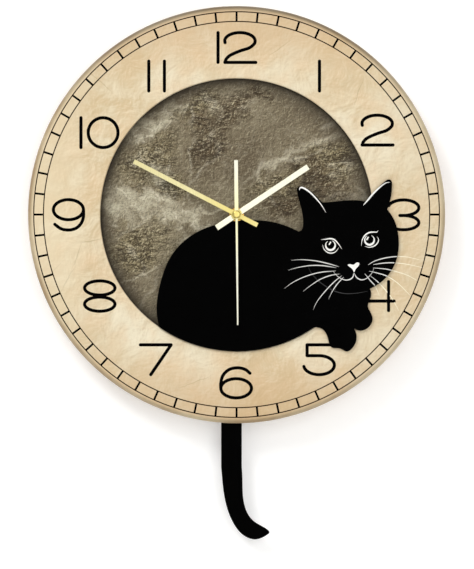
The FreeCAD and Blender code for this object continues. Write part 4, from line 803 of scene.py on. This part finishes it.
circles = [
    [(on_dial(radius, 360 * i / CIRCLE_POINTS), 1.0) for i in range(CIRCLE_POINTS)]
    for radius in (TRACK_INNER, TRACK_OUTER)
]
ink("track_circles", circles, TRACK_LINE, RING_FACE, brown_ink, closed=True)
bars = [
    [(on_dial(TRACK_INNER, 360 * i / MINUTES), 1.0), (on_dial(TRACK_OUTER, 360 * i / MINUTES), 1.0)]
    for i in range(MINUTES)
]
ink("track_bars", bars, BAR_WIDTH, RING_FACE, black_ink)
print("minute bars:", len(bars))

# %% [markdown]
# ## Numerals
# The numerals are upright, wide and thin, all of one height, drawn with a single round pen. Most are
# made of straight lines and parts of ellipses. Where the cat lies over them, they go on underneath.

# %% Numerals
PEN = 2.35
TALL = 10.7
WIDE = 10.8

one = [[(0, -TALL), (0, TALL)]]
two = [
    smooth(
        arc((0, 4.7), 10.9, 6.0, 192, -22, 12)
        + [(6.6, -0.3), (0.0, -2.5), (-6.6, -5.4), (-9.6, -8.0), (-WIDE, -TALL)]
    ),
    [(-WIDE, -TALL), (11.4, -TALL)],
]
three = [
    arc((-1.0, 5.1), 11.0, 5.6, 165, -90),
    [(-1.0, -0.5), (-3.6, -0.5)],
    arc((-1.0, -5.6), 11.0, 5.1, 90, -165),
]
four = [[(0, -TALL + 0.3), (0, TALL - 0.3)], [(-18.0, -3.6), (4.0, -3.6)]]
five = [
    [(11.0, TALL), (-9.0, TALL)],
    [(-9.0, TALL), (-9.0, 2.9)],
    [(-9.0, 2.9), (-1.0, 2.9)],
    arc((-0.4, -3.9), 11.0, 6.8, 90, -172),
]
six = [
    arc((-0.3, -4.0), 11.0, 6.9, 0, 360),
    smooth([(9.6, 6.8), (6.0, 9.6), (0.6, TALL), (-5.4, 9.4), (-9.8, 5.2), (-11.3, -0.4), (-11.3, -4.0)]),
]
seven = [[(-WIDE, TALL), (11.2, TALL)], [(11.2, TALL), (-3.4, -TALL)]]
eight = [arc((0, 5.7), 10.9, 5.1, 0, 360), arc((0, -5.9), 10.9, 5.1, 0, 360)]
nine = [
    arc((0, 3.9), WIDE, 7.2, 0, 360),
    smooth([(WIDE, 3.9), (WIDE, -1.0), (9.2, -5.8), (5.4, -9.4), (0.2, -TALL), (-5.4, -9.7), (-9.8, -6.6)]),
]
zero = [arc((0, 0), TALL, TALL, 0, 360)]
NUMERALS = {
    "numeral_12": [(one, (-13.3, 119.9)), (two, (2.4, 119.9))],
    "numeral_1": [(one, (59.5, 99.4))],
    "numeral_2": [(two, (100.9, 60.6))],
    "numeral_3": [(three, (120.8, -0.2))],
    "numeral_4": [(four, (109.1, -58.5))],
    "numeral_5": [(five, (59.6, -104.2))],
    "numeral_6": [(six, (0.0, -120.7))],
    "numeral_7": [(seven, (-58.2, -104.2))],
    "numeral_8": [(eight, (-98.2, -58.4))],
    "numeral_9": [(nine, (-120.7, -0.4))],
    "numeral_10": [(one, (-111.7, 58.8)), (zero, (-95.8, 58.8))],
    "numeral_11": [(one, (-63.0, 99.4)), (one, (-51.8, 99.4))],
}
for name, digits in NUMERALS.items():
    strokes = []
    for digit, middle in digits:
        for stroke in digit:
            strokes.append(rounded([Vector(p) + Vector(middle) for p in stroke], PEN))
    ink(name, strokes, PEN, RING_FACE, black_ink)
print("numerals:", len(NUMERALS))

# %% [markdown]
# ## The cat's face
# The face is white line art on the black cat: long tapered whiskers, lids, round irises with a glint,
# a nose like a small heart and a smile. On the right the whiskers run on past the cheek, so they are
# split where the cat ends: one part on the cat, the other on the ring below.

# %% Whiskers
WHISKER = 0.72
RIGHT_WHISKER = 0.7
LEFT_WHISKERS = [
    [(39.0, -32.8), (47.0, -32.4), (57.0, -33.3), (66.0, -35.3), (73.5, -37.5)],
    [(36.8, -40.0), (44.0, -38.0), (53.0, -36.6), (62.0, -36.7), (71.5, -38.2)],
    [(34.3, -53.0), (41.0, -48.3), (50.0, -44.2), (60.0, -41.5), (71.5, -40.4)],
    [(47.5, -55.3), (53.0, -51.0), (60.0, -46.5), (67.0, -43.8), (74.0, -42.6)],
    [(54.9, -68.3), (58.0, -62.0), (64.0, -54.5), (70.0, -48.3), (75.5, -43.8)],
    [(66.0, -60.5), (69.0, -54.5), (72.5, -49.5), (77.0, -44.8)],
]
RIGHT_WHISKERS = [
    [(94.5, -36.0), (99.0, -33.4), (106.0, -31.3), (114.0, -30.2), (122.0, -30.4), (131.2, -32.5)],
    [(98.0, -36.0), (104.0, -35.0), (112.0, -34.6), (122.0, -35.6), (133.2, -38.0)],
    [(98.0, -38.3), (106.0, -39.0), (112.0, -40.2), (122.0, -43.3), (129.2, -47.1)],
    [(95.0, -40.6), (101.0, -42.0), (108.0, -44.3), (116.0, -49.5), (125.2, -58.7)],
    [(96.0, -44.0), (102.0, -49.0), (108.0, -55.5), (112.0, -61.0), (116.6, -69.2)],
    [(92.0, -42.5), (96.0, -47.5), (99.5, -51.5), (102.5, -58.2)],
]
cat = bpy.data.objects["cat_cutout_eased"]


def over_cat(point):
    """True where a line straight back from the front meets the cat."""
    start = Vector((point[0] * MM, CAT_FACE - 10 * MM, point[1] * MM))
    return cat.ray_cast(start, Vector((0, 1, 0)))[0]


left_strokes = [tapered(smooth(points), thick_at=0.75) for points in LEFT_WHISKERS]
ink("whiskers_left", left_strokes, WHISKER, CAT_FACE, grey_ink)
on_cat, on_ring = [], []
for points in RIGHT_WHISKERS:
    stroke = tapered(smooth(points), thin=0.35, thick_at=0.4)
    inside = [item for item in stroke if over_cat(item[0])]
    on_cat.append(inside)
    on_ring.append(stroke[len(inside) - 2:])
ink("whiskers_right", on_cat, RIGHT_WHISKER, CAT_FACE, grey_ink)
ink("whisker_tips", on_ring, RIGHT_WHISKER, RING_FACE - TIP_PROUD, cream_ink)
print("whiskers:", len(LEFT_WHISKERS) + len(RIGHT_WHISKERS))

# %% Ears, lids, irises, glints and mouth
EAR_LINES = [
    [(44.9, 17.4), (45.8, 19.2), (48.2, 18.9), (52.5, 16.0), (57.0, 11.5), (61.0, 6.5), (64.0, 1.5)],
    [(90.8, 6.5), (94.0, 10.2), (98.0, 15.0), (103.0, 19.8), (107.0, 22.6), (110.0, 23.2)],
]
LIDS = [
    [(60.5, -18.0), (64.0, -17.7), (67.0, -17.3), (70.0, -18.0), (73.0, -21.0), (75.5, -24.8)],
    [
        (89.5, -22.5), (90.0, -18.5), (92.0, -15.0), (95.0, -13.0), (98.0, -12.6),
        (100.5, -12.6), (101.5, -11.4),
    ],
]
LOWER_LIDS = [
    [(61.7, -21.5), (62.5, -24.5), (65.0, -27.0), (68.0, -27.7), (71.0, -26.7), (73.5, -23.5)],
    [(91.8, -22.8), (95.0, -23.5), (98.5, -22.7), (101.0, -20.5), (101.8, -18.0), (100.8, -15.8)],
]
IRISES = [arc((67.3, -22.0), 3.4, 3.5, 125, 430), arc((95.3, -18.2), 3.4, 3.5, 120, 425)]
GLINTS = [[(66.5, -21.4), (67.4, -19.9)], [(93.4, -18.0), (94.4, -16.4)]]
MOUTH = [
    [
        (84.1, -41.8), (83.5, -44.5), (81.5, -46.4), (78.0, -47.0), (74.5, -45.7),
        (71.5, -43.5), (69.2, -40.5),
    ],
    [
        (84.2, -41.8), (86.0, -45.0), (88.5, -46.6), (91.0, -46.7), (94.0, -45.3),
        (97.0, -42.0), (98.5, -38.3),
    ],
]
CHIN = [
    [
        (51.0, -36.0), (53.0, -41.0), (58.0, -47.0), (64.0, -51.5), (70.0, -54.8),
        (77.0, -56.6), (84.0, -56.6), (90.0, -55.8), (94.0, -55.0),
    ],
]


def face_lines(name, lines, width, material, thick_at=0.5, thin=0.15):
    """Tapered lines of one kind, drawn on the cat."""
    strokes = [tapered(smooth([tuple(p) for p in line]), thin, thick_at) for line in lines]
    ink(name, strokes, width, CAT_FACE, material)


face_lines("ear_lines", EAR_LINES, 1.2, white_ink, 0.3)
face_lines("upper_lids", LIDS, 1.0, white_ink)
face_lines("lower_lids", LOWER_LIDS, 0.8, white_ink)
face_lines("irises", [line[::4] for line in IRISES], 1.5, white_ink)
face_lines("mouth_lines", MOUTH, 0.8, grey_ink, 0.2)
face_lines("chin_line", CHIN, 0.6, faint_ink)
ink("glints", [rounded([Vector(p) for p in g], 1.0) for g in GLINTS], 1.0, CAT_FACE, white_ink)

# %% [markdown]
# The nose is the one filled shape: a small heart. A flat curve fills itself, so its outline is drawn
# as a closed spline and given a film's thickness.

# %% Nose
NOSE = [
    (79.2, -36.1), (81.2, -35.4), (83.8, -36.3), (85.3, -34.9), (87.0, -34.1),
    (88.3, -35.2), (87.4, -37.2), (85.3, -39.0), (84.3, -42.0), (83.2, -39.2),
    (81.4, -37.8),
]
NOSE_FILM = 0.03 * MM
deselect_all()
bpy.ops.object.add(type="CURVE")
nose = bpy.context.object
nose.data.dimensions = "2D"
nose.data.fill_mode = "BOTH"
nose.data.extrude = NOSE_FILM
outline = nose.data.splines.new("NURBS")
outline.points.add(len(NOSE) - 1)
for place, (across, up) in zip(outline.points, NOSE):
    place.co = (across * MM, up * MM, 0.0, 1.0)
outline.order_u = 3
outline.use_cyclic_u = True
bpy.ops.object.convert(target="MESH")
nose = bpy.context.object
nose.name = "nose"
nose.rotation_euler = (math.radians(90), 0, 0)
nose.location.y = CAT_FACE - TIP_PROUD
bpy.ops.object.transform_apply(location=True, rotation=True, scale=True)
dress(nose, white_ink)
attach(nose, "case")
print("nose has", len(nose.data.polygons), "faces")

# %% [markdown]
# ## Marks on the back
# Such a movement is marked on its rear cover, so that the cell goes in the right way round and the
# hands are set with the knob: a plus, a minus, and an arrow around the knob. They are drawn with the
# same pen as the dial, in pale paint.

# %% Marks by the cell and the knob
MARK = 0.8
MARK_PROUD = 0.02 * MM
cell_low, cell_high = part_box("battery_cell")
knob_low, knob_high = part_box("setting_knob")
MARK_ABOVE_CELL = 4.6
MARK_INSET = 3.0
mark_height = cell_high.z / MM + MARK_ABOVE_CELL
plus_middle = Vector((cell_high.x / MM - MARK_INSET, mark_height))
minus_middle = Vector((cell_low.x / MM + MARK_INSET, mark_height))
knob_middle = Vector(((knob_low.x + knob_high.x) / 2 / MM, (knob_low.z + knob_high.z) / 2 / MM))
ARM = 1.7
ARROW_RADIUS = 9.4
arrow = [Vector(p) for p in arc(knob_middle, ARROW_RADIUS, ARROW_RADIUS, 35, 145, 24)]
tip = arrow[-1]
marks = [
    [plus_middle - Vector((ARM, 0)), plus_middle + Vector((ARM, 0))],
    [plus_middle - Vector((0, ARM)), plus_middle + Vector((0, ARM))],
    [minus_middle - Vector((ARM, 0)), minus_middle + Vector((ARM, 0))],
    arrow,
    [tip, tip + Vector((2.1, 0.4))],
    [tip, tip + Vector((0.2, 2.2))],
]
mark_paint = plain("mark_paint", paint(206, 206, 202), 0.5, 1600.0, 0.000004)
ink("cover_marks", [rounded(mark, MARK) for mark in marks], MARK, MARK_PROUD, mark_paint)
print("marks drawn:", len(marks))

# %% [markdown]
# ## Wall, floor and light
# The clock hangs on a white wall over a pale floor. The wall is only seen from the front: its back is
# clear, so that the clock's own back can be looked at.


# %% Stage
def wall_paint():
    material, tree, shader = new_material("wall_paint")
    shader.inputs["Base Color"].default_value = (0.93, 0.93, 0.93, 1.0)
    shader.inputs["Roughness"].default_value = 0.9
    shader.inputs["Emission Color"].default_value = (1.0, 1.0, 1.0, 1.0)
    shader.inputs["Emission Strength"].default_value = 0.2
    clear = tree.nodes.new("ShaderNodeBsdfTransparent")
    side = tree.nodes.new("ShaderNodeNewGeometry").outputs["Backfacing"]
    shadow = tree.nodes.new("ShaderNodeLightPath").outputs["Is Shadow Ray"]
    see_through = maths(tree, "MAXIMUM", side, shadow)
    choice = add(tree, "ShaderNodeMixShader", {0: see_through, 1: shader.outputs[0], 2: clear.outputs[0]})
    tree.links.new(choice.outputs[0], tree.nodes["Material Output"].inputs["Surface"])
    return material


WALL_GAP = 1 * MM
FLOOR_DROP = 160 * MM
deselect_all()
bpy.ops.mesh.primitive_plane_add(size=6.0, location=(0, WALL_GAP, 1.2), rotation=(math.radians(90), 0, 0))
wall = bpy.context.object
wall.name = "wall"
dress(wall, wall_paint())
deselect_all()
bpy.ops.mesh.primitive_plane_add(size=8.0, location=(0, 0, cad_box[0].z - FLOOR_DROP))
floor = bpy.context.object
floor.name = "floor"
dress(floor, plain("floor_paint", paint(228, 227, 224), 0.7, 300.0, 0.000002, variation=0.02))


def soft_light(name, place, size, power):
    """A square lamp that faces the clock; size in metres and power in watts."""
    data = bpy.data.lights.new(name, "AREA")
    data.size = size
    data.energy = power
    light = bpy.data.objects.new(name, data)
    bpy.context.scene.collection.objects.link(light)
    light.location = place
    aim = PICTURE_CENTRE - light.location
    light.rotation_euler = aim.to_track_quat("-Z", "Y").to_euler()


soft_light("key", Vector((-0.9, -1.5, 1.3)), 0.7, 17.0)
soft_light("fill", Vector((0.7, -2.4, 0.3)), 1.6, 15.0)
soft_light("rear", Vector((0.8, 2.2, 0.9)), 2.0, 14.0)
world = bpy.data.worlds.new("studio")
world.use_nodes = True
world.node_tree.nodes["Background"].inputs["Color"].default_value = (1, 1, 1, 1)
world.node_tree.nodes["Background"].inputs["Strength"].default_value = 0.6
bpy.context.scene.world = world
bpy.context.scene.view_settings.view_transform = "Standard"
